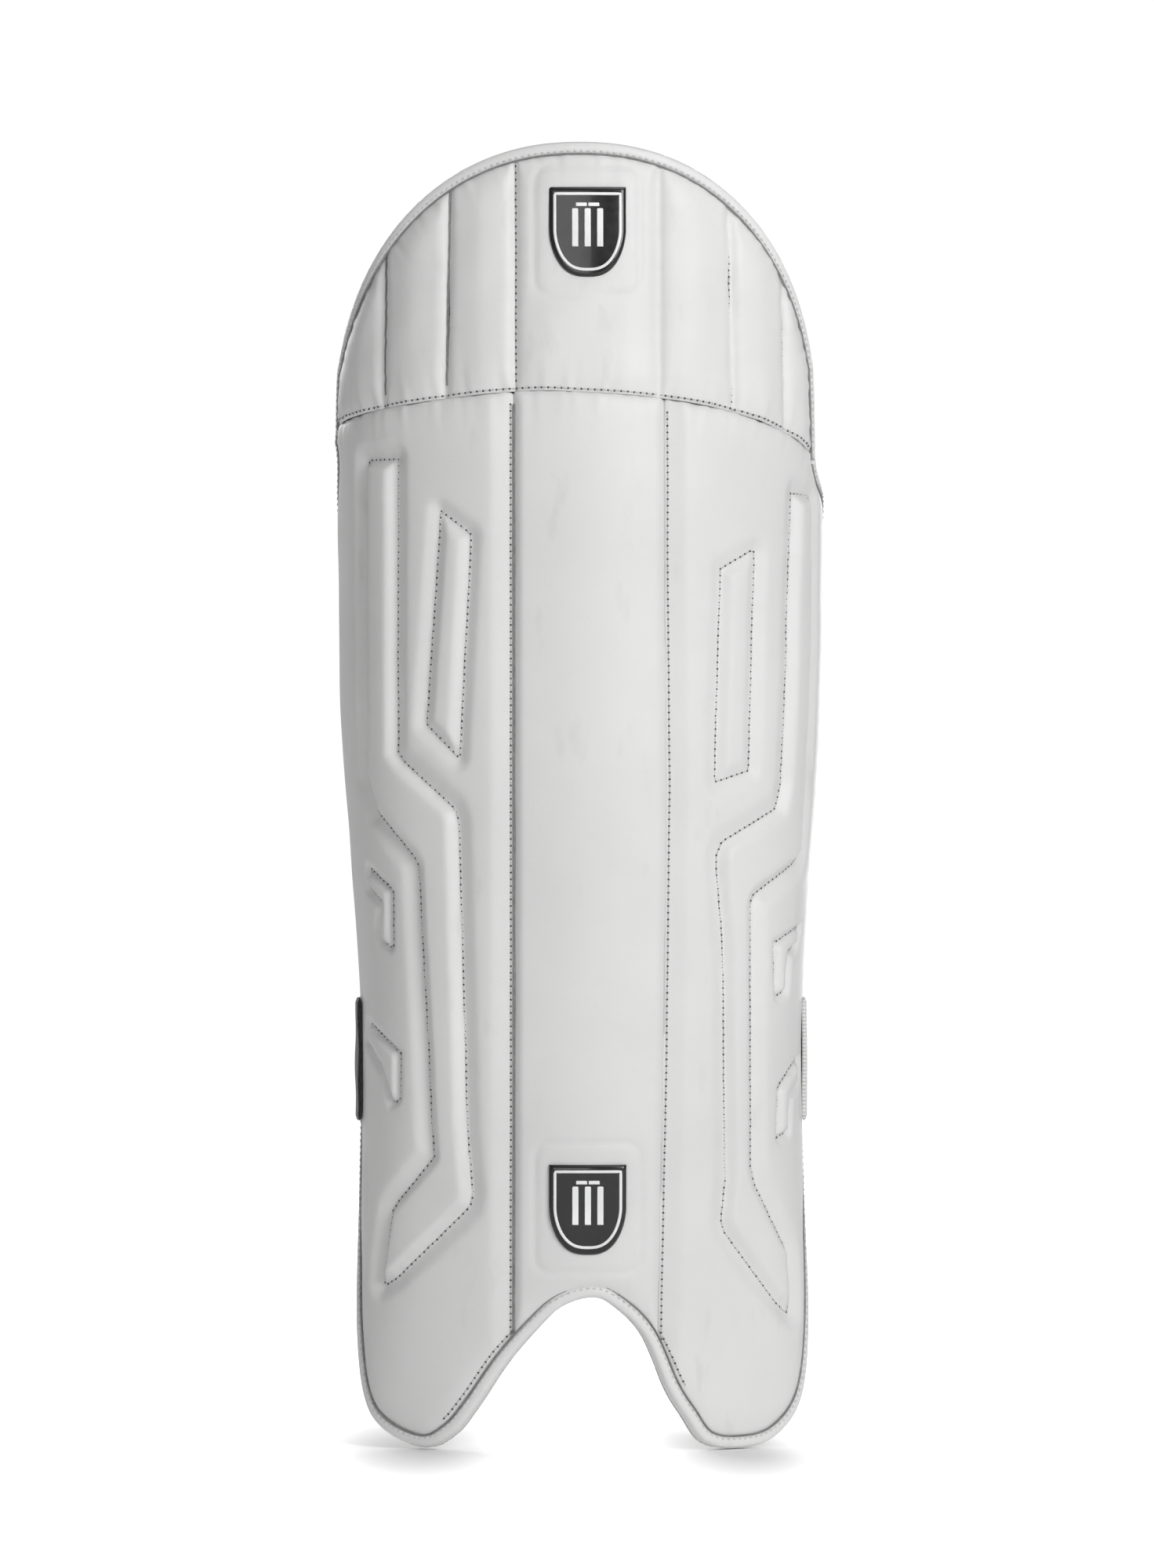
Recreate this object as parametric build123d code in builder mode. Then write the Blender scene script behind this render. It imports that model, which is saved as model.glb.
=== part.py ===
from build123d import *
import os
from math import acos, cos, degrees, radians, sin, sqrt, tan

# Cricket wicketkeeper's leg pad, in millimetres.
# +Z is up, the padded face looks along -Y and the wearer's leg is on the +Y side.
# The origin is on the floor plane of the two instep lobes, in the middle of the pad's width and depth.
# "Depth" below is the distance inward from the outer surface, so it is negative outside the cover.

# Overall form ------------------------------------------------------------------------------------
HEIGHT = 670.0
FRONT_Y = -77.0            # outer surface at the middle of the front, at mid height
BOW = 9.0                  # how far the ends of the front line fall back behind its middle
SHOULDER = 35.0            # angle from the front at which the flat arc meets the tight side arc
REACH = 112.0              # angle at which the raw U-shaped section ends
SIDE_RADIUS_RATIO = 0.672  # side arc radius over half width
HALF_WIDTHS = (
    (-12.0, 132.5), (60.0, 126.0), (110.0, 119.0), (150.0, 115.6), (205.0, 114.4), (250.0, 115.5),
    (330.0, 122.0), (450.0, 125.5), (520.0, 128.0), (690.0, 129.5),
)
MARGIN = 30.0              # how far cutting solids reach past the pad

# Layers: depth of the outer and the inner face --------------------------------------------------
COVER = (0.0, 1.4)
INSERT = (1.8, 5.0)
FOAM = (1.8, 15.0)
PLATE = (15.4, 17.4)
LINING = (17.8, 19.0)
EMBLEM = (-2.2, -0.3)
BOLSTER = (19.4, 36.0)
CUSHION = (19.4, 34.0)
INSTEP = (19.4, 30.0)
TAPE = (19.4, 20.4)
FIT = 0.4                  # clearance between neighbouring layers and panels
INSERT_BACK = 12.0         # y at which the inserts end, short of the widest line of the wings

# Edges -------------------------------------------------------------------------------------------
BINDING = 5.0              # width of the bound edge
KNEE_REAR = 94.0           # depth of the knee section's side edge behind the front line
DOME_HALF = 124.5          # half of the knee section's width, seen from the front
DOME_SHIFT = -4.0          # the knee section leans this far to the left
DOME_FOOT = 529.0          # height at which the dome outline is widest
DOME_POWER = 2.2           # superellipse exponent of the dome outline
DOME_STEPS = 12            # spans of the dome outline

# Knee hinge --------------------------------------------------------------------------------------
HINGE_BACK = 40.0          # hinge axis behind the front line
HINGE_FORWARD = 12.5       # relief angle for the knee leaning forward, half a degree over its limit
HINGE_BACKWARD = 15.5      # relief angle for the knee leaning back, half a degree over its limit
HINGE_GAP = 2.0            # gap between shin and knee at the axis
SEAM = ((-140, 522), (-98, 534), (-38, 540.5), (0, 540), (40, 537), (75, 531), (105, 521), (140, 503))

# Front outlines, as (x, z) -------------------------------------------------------------------------
INSTEP_OUTLINE = (
    (-121, 60), (-116, 26), (-106, 10), (-85, 1), (-70, 8), (-42, 44), (-26, 62), (2, 77.7),
    (22, 68), (42, 32), (62, 4), (79, 0.5), (99, 5), (114, 22), (121, 60),
)
LEFT_PANEL_SEAM = -38.3
RIGHT_PANEL_SEAM = 40.3
LEFT_RIDGE = (
    (-98, 505), (-98, 357), (-67, 324), (-62, 163), (-59.5, 127), (-102, 86),
    (-99.4, 125), (-79.5, 152), (-85.5, 260), (-87.5, 301), (-110, 329), (-113, 345), (-113, 505),
)
RIGHT_RIDGE = (
    (109, 488), (104, 341), (101, 328), (69, 309), (68, 302), (72, 239), (73, 138), (70.4, 116), (103.5, 74),
    (106, 102), (87, 140), (86.7, 281), (113, 301), (116.5, 341), (121, 486),
)
LEFT_LOZENGE = ((-75.5, 480), (-60, 468), (-66, 353.5), (-83, 371))
RIGHT_LOZENGE = ((69.9, 450.5), (87.9, 461), (85, 347.5), (66.6, 341.4))
LEFT_VENTS = (
    ((-111.5, 296), (-100.3, 286), (-99.8, 257), (-105, 262)),
    ((-111, 216), (-96.2, 202), (-97, 178), (-105, 194)),
)
RIGHT_VENTS = (
    ((112, 266), (98.8, 258), (99.7, 232), (105.5, 250)),
    ((111, 198), (101, 184), (100.3, 160), (106.6, 178)),
)
SHIELD_HALF = 19.0
SHIELD_TOP = 22.0
SHIELD_TIP = 24.0
SHIELD_WAIST = (0.72, 0.62)  # where the curved sides pass, as shares of the half width and of the tip
SHIN_EMBLEM_Z = 125.0
KNEE_EMBLEM_Z = 622.0
KNEE_SEAMS = (-104.0, -72.0, -37.0, 37.0, 75.0, 103.0)

# Side outline of the shin, as (y behind the front line, z) -----------------------------------------
SHIN_REAR = (
    (24, -12), (46, 4), (60, 22), (69, 60), (80, 110), (90, 150), (101, 200), (111.5, 300), (112, 440),
    (106, 485), (88, 514),
)

# Parts behind the foam -----------------------------------------------------------------------------
PLATE_HALF = 33.0
PLATE_LOW = 100.0
PLATE_HIGH = 505.0
CANE_WIDTH = 6.0
CANE_STARTS = (46.0, 60.0, 74.0)
CANE_LOW = 60.0
CANE_HIGH = 490.0
BOLSTER_SPAN = (20.0, 54.0)
BOLSTER_LOW = 118.0
BOLSTER_HIGH = 490.0
KNEE_PLATE_HALF = 70.0
KNEE_CUSHION_HALF = 62.0
CUSHION_TOP = 632.0
CUSHION_RISE = 20.0        # cushion starts this far above the seam
INSTEP_WIDTH = 24.0
INSTEP_HALF = 62.0
INSTEP_TOP = 112.0
TAPE_HALF_HEIGHT = 16.0

# Straps --------------------------------------------------------------------------------------------
WEBBING = 2.0              # thickness of one strap layer
PLY_GAP = 0.5              # between the ear and the tab that grips it
FOLD_GAP = 2.6             # left free on each side of a strap's fold line, along the strap
EAR_END_X = -25.0          # the ear reaches here from the left side
TAB_END_X = -85.0          # the tab's tip
COVER_GAP = 2.0            # between the cover and a patch sewn on the outside of a wing
LINING_GAP = 0.8           # between the lining and a patch sewn on the inside of a wing
PATCH_START = 82.0         # angle from the front at which a sewn patch begins
EAR_TURN = 106.0           # angle at which the left patch turns into the strap's run behind the leg
# "root" is the strap's hinge line, "anchor_turn" the angle at which the right patch stops short of it.
CALF_STRAP = {"low": 167.0, "high": 230.0, "outside": True, "anchor_turn": 102.0,
              "root_x": 113.0, "root_back": 109.5, "back": 150.0}
KNEE_STRAP = {"low": 395.0, "high": 435.0, "outside": False, "anchor_turn": 107.0,
              "root_x": 100.7, "root_back": 113.7, "back": 151.0}


def half_width(z):
    """Half of the pad's width at height z, before any outline is cut."""
    for (z_low, low), (z_high, high) in zip(HALF_WIDTHS, HALF_WIDTHS[1:]):
        if z <= z_high:
            return low + (high - low) * (z - z_low) / (z_high - z_low)
    return HALF_WIDTHS[-1][1]


def front_y(z):
    """Y of the outer surface at the middle of the front, at height z."""
    middle = HEIGHT / 2
    return FRONT_Y + BOW * ((z - middle) / middle) ** 2


def arcs_at(z):
    """Radii and centres of the flat front arc and of the side arcs at height z."""
    half = half_width(z)
    side_radius = SIDE_RADIUS_RATIO * half
    front_radius = side_radius + (half - side_radius) / sin(radians(SHOULDER))
    front_centre = front_y(z) + front_radius
    side_x = half - side_radius
    side_y = front_centre - (front_radius - side_radius) * cos(radians(SHOULDER))
    return front_radius, front_centre, side_radius, side_x, side_y


def side_point(z, angle, depth, side):
    """Point on a side arc, at an angle from the front and a depth below the outer surface."""
    _, _, side_radius, side_x, side_y = arcs_at(z)
    radius = side_radius - depth
    return side * (side_x + radius * sin(radians(angle))), side_y - radius * cos(radians(angle))


def shell(depths, z_low=HALF_WIDTHS[0][0], z_high=HALF_WIDTHS[-1][0]):
    """U-shaped wall between two depths, lofted between two heights."""
    inner_levels = [z for z, half in HALF_WIDTHS if z_low < z < z_high]
    with BuildPart() as wall:
        for z in [z_low] + inner_levels + [z_high]:
            front_radius, front_centre, side_radius, side_x, side_y = arcs_at(z)
            with BuildSketch(Plane.XY.offset(z)):
                with BuildLine():
                    for depth in depths:
                        CenterArc((-side_x, side_y), side_radius - depth, 270 - REACH, REACH - SHOULDER)
                        CenterArc((0, front_centre), front_radius - depth, 270 - SHOULDER, 2 * SHOULDER)
                        CenterArc((side_x, side_y), side_radius - depth, 270 + SHOULDER, REACH - SHOULDER)
                    for side in (-1, 1):
                        Line(side_point(z, REACH, depths[0], side), side_point(z, REACH, depths[1], side))
                make_face()
        loft()
    return wall.part


def front_prism(points, grow=0.0):
    """Block whose front view is a polygon, grown by a clearance."""
    with BuildPart() as block:
        with BuildSketch(Plane.XZ):
            with BuildLine():
                Polyline(*points, close=True)
            make_face()
            if grow:
                offset(amount=grow, kind=Kind.INTERSECTION)
        extrude(amount=HEIGHT / 2, both=True)
    return block.part


def slab(x_low, x_high, z_low=-MARGIN, z_high=HEIGHT + MARGIN):
    """Block between two x planes and two heights, through the whole depth."""
    return front_prism(((x_low, z_low), (x_high, z_low), (x_high, z_high), (x_low, z_high)))


def inset_outline(points, inset):
    """Points of a smooth outline, moved to the left of its direction of travel."""
    curve = Spline(*points)
    steps = 2 * len(points)
    moved = []
    for step in range(steps + 1):
        place = curve @ (step / steps)
        along = curve % (step / steps)
        moved.append((place.X - inset * along.Y, place.Y + inset * along.X))
    return moved


def instep_prism(inset):
    """Front view of the shin: two rounded lobes either side of the instep notch."""
    bottom = inset_outline(INSTEP_OUTLINE, inset)
    top = HEIGHT + MARGIN
    wide = HALF_WIDTHS[-1][1] + MARGIN
    with BuildPart() as block:
        with BuildSketch(Plane.XZ):
            with BuildLine():
                Spline(*bottom)
                Polyline(bottom[-1], (wide, 3 * MARGIN), (wide, top), (-wide, top), (-wide, 3 * MARGIN), bottom[0])
            make_face()
        extrude(amount=HEIGHT / 2, both=True)
    return block.part


def shin_side_prism(inset):
    """Side view of the shin: rounded heel, straight rear edge and rounded top corner."""
    rear = inset_outline([(FRONT_Y + back, z) for back, z in SHIN_REAR], inset)
    ahead = FRONT_Y - MARGIN
    with BuildPart() as block:
        with BuildSketch(Plane.YZ):
            with BuildLine():
                Spline(*rear)
                Polyline(rear[-1], (rear[-1][0], HEIGHT), (ahead, HEIGHT), (ahead, rear[0][1]), rear[0])
            make_face()
        extrude(amount=HALF_WIDTHS[-1][1] + MARGIN, both=True)
    return block.part


def below_seam(drop=0.0):
    """Space under the knee seam, sloping down in front of and behind the hinge axis."""
    low = -2 * MARGIN
    with BuildPart() as block:
        for side, angle in ((-1, HINGE_FORWARD), (1, HINGE_BACKWARD)):
            with BuildSketch(Plane.XZ.offset(-(FRONT_Y + HINGE_BACK))):
                with BuildLine():
                    Spline(*[(x, z - HINGE_GAP - drop) for x, z in SEAM])
                    Polyline((SEAM[-1][0], SEAM[-1][1] - HINGE_GAP - drop), (SEAM[-1][0], low),
                             (SEAM[0][0], low), (SEAM[0][0], SEAM[0][1] - HINGE_GAP - drop))
                make_face()
            extrude(amount=HALF_WIDTHS[-1][1], dir=(0, side, -tan(radians(angle))))
    return block.part


def shin_space(inset=0.0, drop=0.0):
    """Everything the shin section may fill."""
    with BuildPart() as space:
        add(instep_prism(inset))
        add(shin_side_prism(inset), mode=Mode.INTERSECT)
        add(below_seam(drop), mode=Mode.INTERSECT)
    return space.part


def dome_point(angle, inset):
    """Point on the dome outline at a parametric angle, 0 on the right and 180 on the left."""
    across = DOME_HALF - inset
    rise = HEIGHT - DOME_FOOT - inset
    power = 2 / DOME_POWER
    side = 1 if angle < 90 else -1
    x = side * across * abs(cos(radians(angle))) ** power
    return DOME_SHIFT + x, DOME_FOOT + rise * abs(sin(radians(angle))) ** power


def knee_space(inset=0.0, lift=0.0):
    """Everything the knee section may fill: a dome above the seam."""
    floor = HINGE_GAP / 2 + lift
    dome = [dome_point(180 * step / DOME_STEPS, inset) for step in range(DOME_STEPS + 1)]
    with BuildPart() as space:
        with BuildSketch(Plane.XZ):
            with BuildLine():
                Spline(*dome, tangents=((0, 1), (0, -1)))
                Polyline(dome[-1], (dome[-1][0], DOME_FOOT - 2 * MARGIN),
                         (dome[0][0], DOME_FOOT - 2 * MARGIN), dome[0])
            make_face()
        extrude(amount=HEIGHT / 2, both=True)
        with BuildSketch(Plane.XZ):
            with BuildLine():
                Spline(*[(x, z + floor) for x, z in SEAM])
                Polyline((SEAM[-1][0], SEAM[-1][1] + floor), (SEAM[-1][0], HEIGHT + MARGIN),
                         (SEAM[0][0], HEIGHT + MARGIN), (SEAM[0][0], SEAM[0][1] + floor))
            make_face()
        extrude(amount=HEIGHT / 2, both=True, mode=Mode.INTERSECT)
        with BuildSketch(Plane.YZ):
            with Locations((FRONT_Y + KNEE_REAR - inset, 0)):
                Rectangle(HEIGHT, 2 * (HEIGHT + MARGIN), align=(Align.MAX, Align.CENTER))
        extrude(amount=HEIGHT, both=True, mode=Mode.INTERSECT)
    return space.part


def insert_zone(depths, y_back):
    """Wall between two depths, as far back as a plane across the pad."""
    with BuildPart() as zone:
        add(shell(depths))
        with BuildSketch(Plane.XY.offset(-MARGIN)):
            with Locations((0, y_back)):
                Rectangle(HEIGHT, HEIGHT, align=(Align.CENTER, Align.MAX))
        extrude(amount=HEIGHT + 2 * MARGIN, mode=Mode.INTERSECT)
    return zone.part


def shield(z):
    """Generic shield outline, its centre at height z."""
    with BuildPart() as block:
        with BuildSketch(Plane.XZ):
            with BuildLine():
                Polyline((-SHIELD_HALF, z), (-SHIELD_HALF, z + SHIELD_TOP), (SHIELD_HALF, z + SHIELD_TOP),
                         (SHIELD_HALF, z))
                for side in (-1, 1):
                    waist = (side * SHIELD_HALF * SHIELD_WAIST[0], z - SHIELD_TIP * SHIELD_WAIST[1])
                    ThreePointArc((side * SHIELD_HALF, z), waist, (0, z - SHIELD_TIP))
            make_face()
        extrude(amount=HEIGHT / 2, both=True)
    return block.part


def pocket(outline):
    """Room in the foam for an insert that lies just under the cover."""
    with BuildPart() as room:
        add(front_prism(outline, FIT))
        add(POCKET_SHELL, mode=Mode.INTERSECT)
    return room.part


def finish(piece, name):
    """Label a finished piece and write it under its own name."""
    piece.part.label = name
    export_step(piece.part, f"parts/{name}.step")


os.makedirs("parts", exist_ok=True)

SHIN_FULL = shin_space()
SHIN_INNER = shin_space(BINDING + FIT)
KNEE_FULL = knee_space()
KNEE_INNER = knee_space(BINDING + FIT)
COVER_SHELL = shell(COVER)
FOAM_SHELL = shell(FOAM)
INSERT_SHELL = insert_zone(INSERT, INSERT_BACK)
POCKET_SHELL = insert_zone((0.0, INSERT[1] + FIT), INSERT_BACK + FIT)
PLATE_SHELL = shell(PLATE)
LINING_SHELL = shell(LINING)
EDGE_SHELL = shell((COVER[0], LINING[1]))
SIDES = (("left", -1, -HALF_WIDTHS[-1][1] - MARGIN, LEFT_PANEL_SEAM - FIT / 2),
         ("right", 1, RIGHT_PANEL_SEAM + FIT / 2, HALF_WIDTHS[-1][1] + MARGIN))
RIDGES = {"left": LEFT_RIDGE, "right": RIGHT_RIDGE}
LOZENGES = {"left": LEFT_LOZENGE, "right": RIGHT_LOZENGE}
VENTS = {"left": LEFT_VENTS, "right": RIGHT_VENTS}

# Shin: centre panel --------------------------------------------------------------------------------
with BuildPart() as shin_centre_cover:
    add(COVER_SHELL)
    add(SHIN_INNER, mode=Mode.INTERSECT)
    add(slab(LEFT_PANEL_SEAM + FIT / 2, RIGHT_PANEL_SEAM - FIT / 2), mode=Mode.INTERSECT)
finish(shin_centre_cover, "shin_centre_cover")

with BuildPart() as shin_bolster_foam:
    add(FOAM_SHELL)
    add(SHIN_INNER, mode=Mode.INTERSECT)
    add(slab(LEFT_PANEL_SEAM + FIT, RIGHT_PANEL_SEAM - FIT), mode=Mode.INTERSECT)
finish(shin_bolster_foam, "shin_bolster_foam")

# Shin: wings ---------------------------------------------------------------------------------------
for name, side, x_low, x_high in SIDES:
    wing = slab(x_low, x_high)
    inserts = (RIDGES[name], LOZENGES[name]) + VENTS[name]

    with BuildPart() as wing_cover:
        add(COVER_SHELL)
        add(SHIN_INNER, mode=Mode.INTERSECT)
        add(wing, mode=Mode.INTERSECT)
    finish(wing_cover, f"wing_cover_{name}")

    with BuildPart() as wing_foam:
        add(FOAM_SHELL)
        add(SHIN_INNER, mode=Mode.INTERSECT)
        add(wing, mode=Mode.INTERSECT)
        for outline in inserts:
            add(pocket(outline), mode=Mode.SUBTRACT)
    finish(wing_foam, f"wing_foam_{name}")

    with BuildPart() as ridge_insert:
        add(front_prism(RIDGES[name]))
        add(INSERT_SHELL, mode=Mode.INTERSECT)
        add(SHIN_INNER, mode=Mode.INTERSECT)
    finish(ridge_insert, f"ridge_insert_{name}")

    with BuildPart() as lozenge_insert:
        add(front_prism(LOZENGES[name]))
        add(INSERT_SHELL, mode=Mode.INTERSECT)
    finish(lozenge_insert, f"lozenge_insert_{name}")

    with BuildPart() as vent_inserts:
        for outline in VENTS[name]:
            add(front_prism(outline))
        add(INSERT_SHELL, mode=Mode.INTERSECT)
        add(SHIN_INNER, mode=Mode.INTERSECT)
    finish(vent_inserts, f"vent_inserts_{name}")

    with BuildPart() as wing_canes:
        for start in CANE_STARTS:
            add(slab(*sorted((side * start, side * (start + CANE_WIDTH))), CANE_LOW, CANE_HIGH))
        add(PLATE_SHELL, mode=Mode.INTERSECT)
        add(SHIN_INNER, mode=Mode.INTERSECT)
    finish(wing_canes, f"wing_canes_{name}")

    with BuildPart() as inner_bolster:
        add(shell(BOLSTER))
        add(slab(*sorted((side * BOLSTER_SPAN[0], side * BOLSTER_SPAN[1])), BOLSTER_LOW, BOLSTER_HIGH),
            mode=Mode.INTERSECT)
    finish(inner_bolster, f"inner_bolster_{name}")

# Shin: back of the pad -----------------------------------------------------------------------------
with BuildPart() as shin_plate:
    add(PLATE_SHELL)
    add(slab(-PLATE_HALF, PLATE_HALF, PLATE_LOW, PLATE_HIGH), mode=Mode.INTERSECT)
finish(shin_plate, "shin_plate")

with BuildPart() as shin_lining:
    add(LINING_SHELL)
    add(SHIN_INNER, mode=Mode.INTERSECT)
finish(shin_lining, "shin_lining")

with BuildPart() as instep_pad:
    add(instep_prism(BINDING + FIT))
    add(instep_prism(BINDING + INSTEP_WIDTH), mode=Mode.SUBTRACT)
    add(slab(-INSTEP_HALF, INSTEP_HALF, 0, INSTEP_TOP), mode=Mode.INTERSECT)
    add(shell(INSTEP), mode=Mode.INTERSECT)
finish(instep_pad, "instep_pad")

with BuildPart() as shin_edge_binding:
    add(EDGE_SHELL)
    add(SHIN_FULL, mode=Mode.INTERSECT)
    add(shin_space(BINDING), mode=Mode.SUBTRACT)
finish(shin_edge_binding, "shin_edge_binding")

with BuildPart() as shin_emblem:
    add(shield(SHIN_EMBLEM_Z))
    add(shell(EMBLEM), mode=Mode.INTERSECT)
finish(shin_emblem, "shin_emblem")

# Knee ----------------------------------------------------------------------------------------------
with BuildPart() as knee_cover:
    add(COVER_SHELL)
    add(KNEE_INNER, mode=Mode.INTERSECT)
finish(knee_cover, "knee_cover")

channel_names = ("left_outer", "left_middle", "left_inner", "centre", "right_inner", "right_middle", "right_outer")
channel_edges = (SIDES[0][2],) + KNEE_SEAMS + (SIDES[1][3],)
for name, x_low, x_high in zip(channel_names, channel_edges, channel_edges[1:]):
    with BuildPart() as knee_foam:
        add(FOAM_SHELL)
        add(KNEE_INNER, mode=Mode.INTERSECT)
        add(slab(x_low + FIT, x_high - FIT), mode=Mode.INTERSECT)
    finish(knee_foam, f"knee_foam_{name}")

with BuildPart() as knee_plate:
    add(PLATE_SHELL)
    add(knee_space(3 * BINDING, 2 * BINDING), mode=Mode.INTERSECT)
    add(slab(-KNEE_PLATE_HALF, KNEE_PLATE_HALF), mode=Mode.INTERSECT)
finish(knee_plate, "knee_plate")

with BuildPart() as knee_lining:
    add(LINING_SHELL)
    add(KNEE_INNER, mode=Mode.INTERSECT)
finish(knee_lining, "knee_lining")

with BuildPart() as knee_cushion:
    add(shell(CUSHION))
    add(knee_space(3 * BINDING, CUSHION_RISE), mode=Mode.INTERSECT)
    add(slab(-KNEE_CUSHION_HALF, KNEE_CUSHION_HALF, DOME_FOOT, CUSHION_TOP), mode=Mode.INTERSECT)
finish(knee_cushion, "knee_cushion")

with BuildPart() as knee_binding:
    add(EDGE_SHELL)
    add(KNEE_FULL, mode=Mode.INTERSECT)
    add(knee_space(BINDING), mode=Mode.SUBTRACT)
finish(knee_binding, "knee_binding")

with BuildPart() as knee_emblem:
    add(shield(KNEE_EMBLEM_Z))
    add(shell(EMBLEM), mode=Mode.INTERSECT)
finish(knee_emblem, "knee_emblem")

with BuildPart() as knee_seam_tape:
    add(knee_space(BINDING + FIT, -TAPE_HALF_HEIGHT))
    add(knee_space(0, TAPE_HALF_HEIGHT), mode=Mode.SUBTRACT)
    add(shell(TAPE), mode=Mode.INTERSECT)
finish(knee_seam_tape, "knee_seam_tape")


# Straps --------------------------------------------------------------------------------------------
def strap_circle(strap):
    """Centre y and inner radius of a strap's run behind the leg."""
    y_front = front_y((strap["low"] + strap["high"]) / 2)
    y_back = y_front + strap["back"]
    sag = strap["back"] - strap["root_back"]
    radius = (strap["root_x"] ** 2 + sag ** 2) / (2 * sag)
    return y_back - radius, radius


def ring_sector(centre, radius, start_angle, end_angle):
    """Face of one strap layer between two angles, counted anticlockwise from +X."""
    with BuildSketch() as sector:
        with BuildLine():
            inner = CenterArc(centre, radius, start_angle, end_angle - start_angle)
            outer = CenterArc(centre, radius + WEBBING, start_angle, end_angle - start_angle)
            Line(inner @ 0, outer @ 0)
            Line(inner @ 1, outer @ 1)
        make_face()
    return sector.sketch


def angle_at(x, radius):
    """Angle of the point of a circle behind the leg that has this x."""
    return degrees(acos(x / radius))


def patch(strap, side, turn):
    """Sewn patch along one face of a wing, from the side of the pad round to its rear edge."""
    z = (strap["low"] + strap["high"]) / 2
    _, _, _, side_x, side_y = arcs_at(z)
    halves = (half_width(strap["low"]), half_width(strap["high"]))
    if strap["outside"]:
        radius = max(halves) - side_x + COVER_GAP
    else:
        radius = min(halves) - side_x - LINING[1] - LINING_GAP - WEBBING
    start, end = sorted((270 + side * PATCH_START, 270 + side * turn))
    return ring_sector((side * side_x, side_y), radius, start, end)


for strap_name, strap in (("calf", CALF_STRAP), ("knee", KNEE_STRAP)):
    centre_y, radius = strap_circle(strap)
    tab_radius = radius + WEBBING + PLY_GAP
    tab_middle = tab_radius + WEBBING / 2
    height = strap["high"] - strap["low"]
    root_angle = angle_at(strap["root_x"], tab_middle)
    ear_angle = angle_at(EAR_END_X, tab_middle)
    tip_angle = angle_at(TAB_END_X, tab_middle)
    left_angle = angle_at(-strap["root_x"] - WEBBING, radius)
    fold = degrees(FOLD_GAP / tab_middle)

    with BuildPart() as strap_ear:
        with BuildSketch(Plane.XY.offset(strap["low"])):
            add(patch(strap, -1, EAR_TURN))
            add(ring_sector((0, centre_y), radius, ear_angle + fold, left_angle))
        extrude(amount=height)
    finish(strap_ear, f"{strap_name}_strap_ear")

    with BuildPart() as strap_anchor:
        with BuildSketch(Plane.XY.offset(strap["low"])):
            add(patch(strap, 1, strap["anchor_turn"]))
        extrude(amount=height)
    finish(strap_anchor, f"{strap_name}_strap_anchor")

    with BuildPart() as strap_band:
        with BuildSketch(Plane.XY.offset(strap["low"])):
            add(ring_sector((0, centre_y), tab_radius, root_angle, ear_angle - fold))
        extrude(amount=height)
    finish(strap_band, f"{strap_name}_strap_band")

    with BuildPart() as strap_tab:
        with BuildSketch(Plane.XY.offset(strap["low"])):
            add(ring_sector((0, centre_y), tab_radius, ear_angle + fold, tip_angle))
        extrude(amount=height)
    finish(strap_tab, f"{strap_name}_strap_tab")
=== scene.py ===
import math

import bmesh
import bpy
import numpy as np
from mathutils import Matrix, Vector


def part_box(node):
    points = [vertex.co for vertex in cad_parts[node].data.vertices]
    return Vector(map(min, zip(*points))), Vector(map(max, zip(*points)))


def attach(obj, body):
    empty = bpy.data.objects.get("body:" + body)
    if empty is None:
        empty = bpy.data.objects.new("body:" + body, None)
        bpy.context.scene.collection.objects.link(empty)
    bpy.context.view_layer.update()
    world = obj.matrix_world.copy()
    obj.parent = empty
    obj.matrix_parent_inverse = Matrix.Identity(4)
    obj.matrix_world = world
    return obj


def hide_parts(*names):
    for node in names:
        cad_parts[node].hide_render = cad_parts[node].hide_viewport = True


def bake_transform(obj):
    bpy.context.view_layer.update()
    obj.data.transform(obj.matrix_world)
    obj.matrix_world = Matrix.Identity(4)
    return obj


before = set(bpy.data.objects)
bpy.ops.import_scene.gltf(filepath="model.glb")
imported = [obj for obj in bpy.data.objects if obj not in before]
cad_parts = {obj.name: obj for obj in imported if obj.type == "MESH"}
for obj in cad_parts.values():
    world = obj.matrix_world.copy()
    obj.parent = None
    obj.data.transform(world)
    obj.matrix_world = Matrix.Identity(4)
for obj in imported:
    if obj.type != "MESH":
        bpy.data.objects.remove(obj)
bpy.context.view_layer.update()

# Everything below is in millimetres, in the part's own frame; make_mesh turns it into metres.
MM = 0.001

# Form of the outer surface --------------------------------------------
HEIGHT = 670.0
FRONT_Y = -77.0
BOW = 9.0
SHOULDER = math.radians(35.0)
SIDE_RATIO = 0.672         # radius of the sides, as a share of the half width
WAIST_HALF = 114.0         # half width at the calf, where the pad is narrowest
LOBE_FLARE = (17.0, 100.0) # extra half width at the floor, and the height over which it fades
WIDENINGS = ((11.5, 198.0, 220.0), (4.0, 430.0, 130.0))  # further up: gain, start height, length
DOME_HALF = 125.6
DOME_SHIFT = -3.6
DOME_FOOT = 529.0
DOME_POWER = 2.2
DOME_DROP = 2.0            # the soft edge settles this far below the full height
SEAM_TURN_LEFT = math.radians(85.0)
SEAM_TURN_RIGHT = math.radians(68.0)
SEAM_FRONT = ((-98, 534), (-38, 540.5), (0, 540), (40, 537), (75, 531), (105, 521))
SEAM_LEFT_Z = 525.0
SEAM_RIGHT_Z = 509.0
SEAM_LEAD = (6.0, 8.0)     # the shin's edge leaves the seam this far outwards and down
LINE_STEP = 2.0            # spacing of points along the outlines
BATCH = 4000               # points whose distances are worked out together

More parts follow.
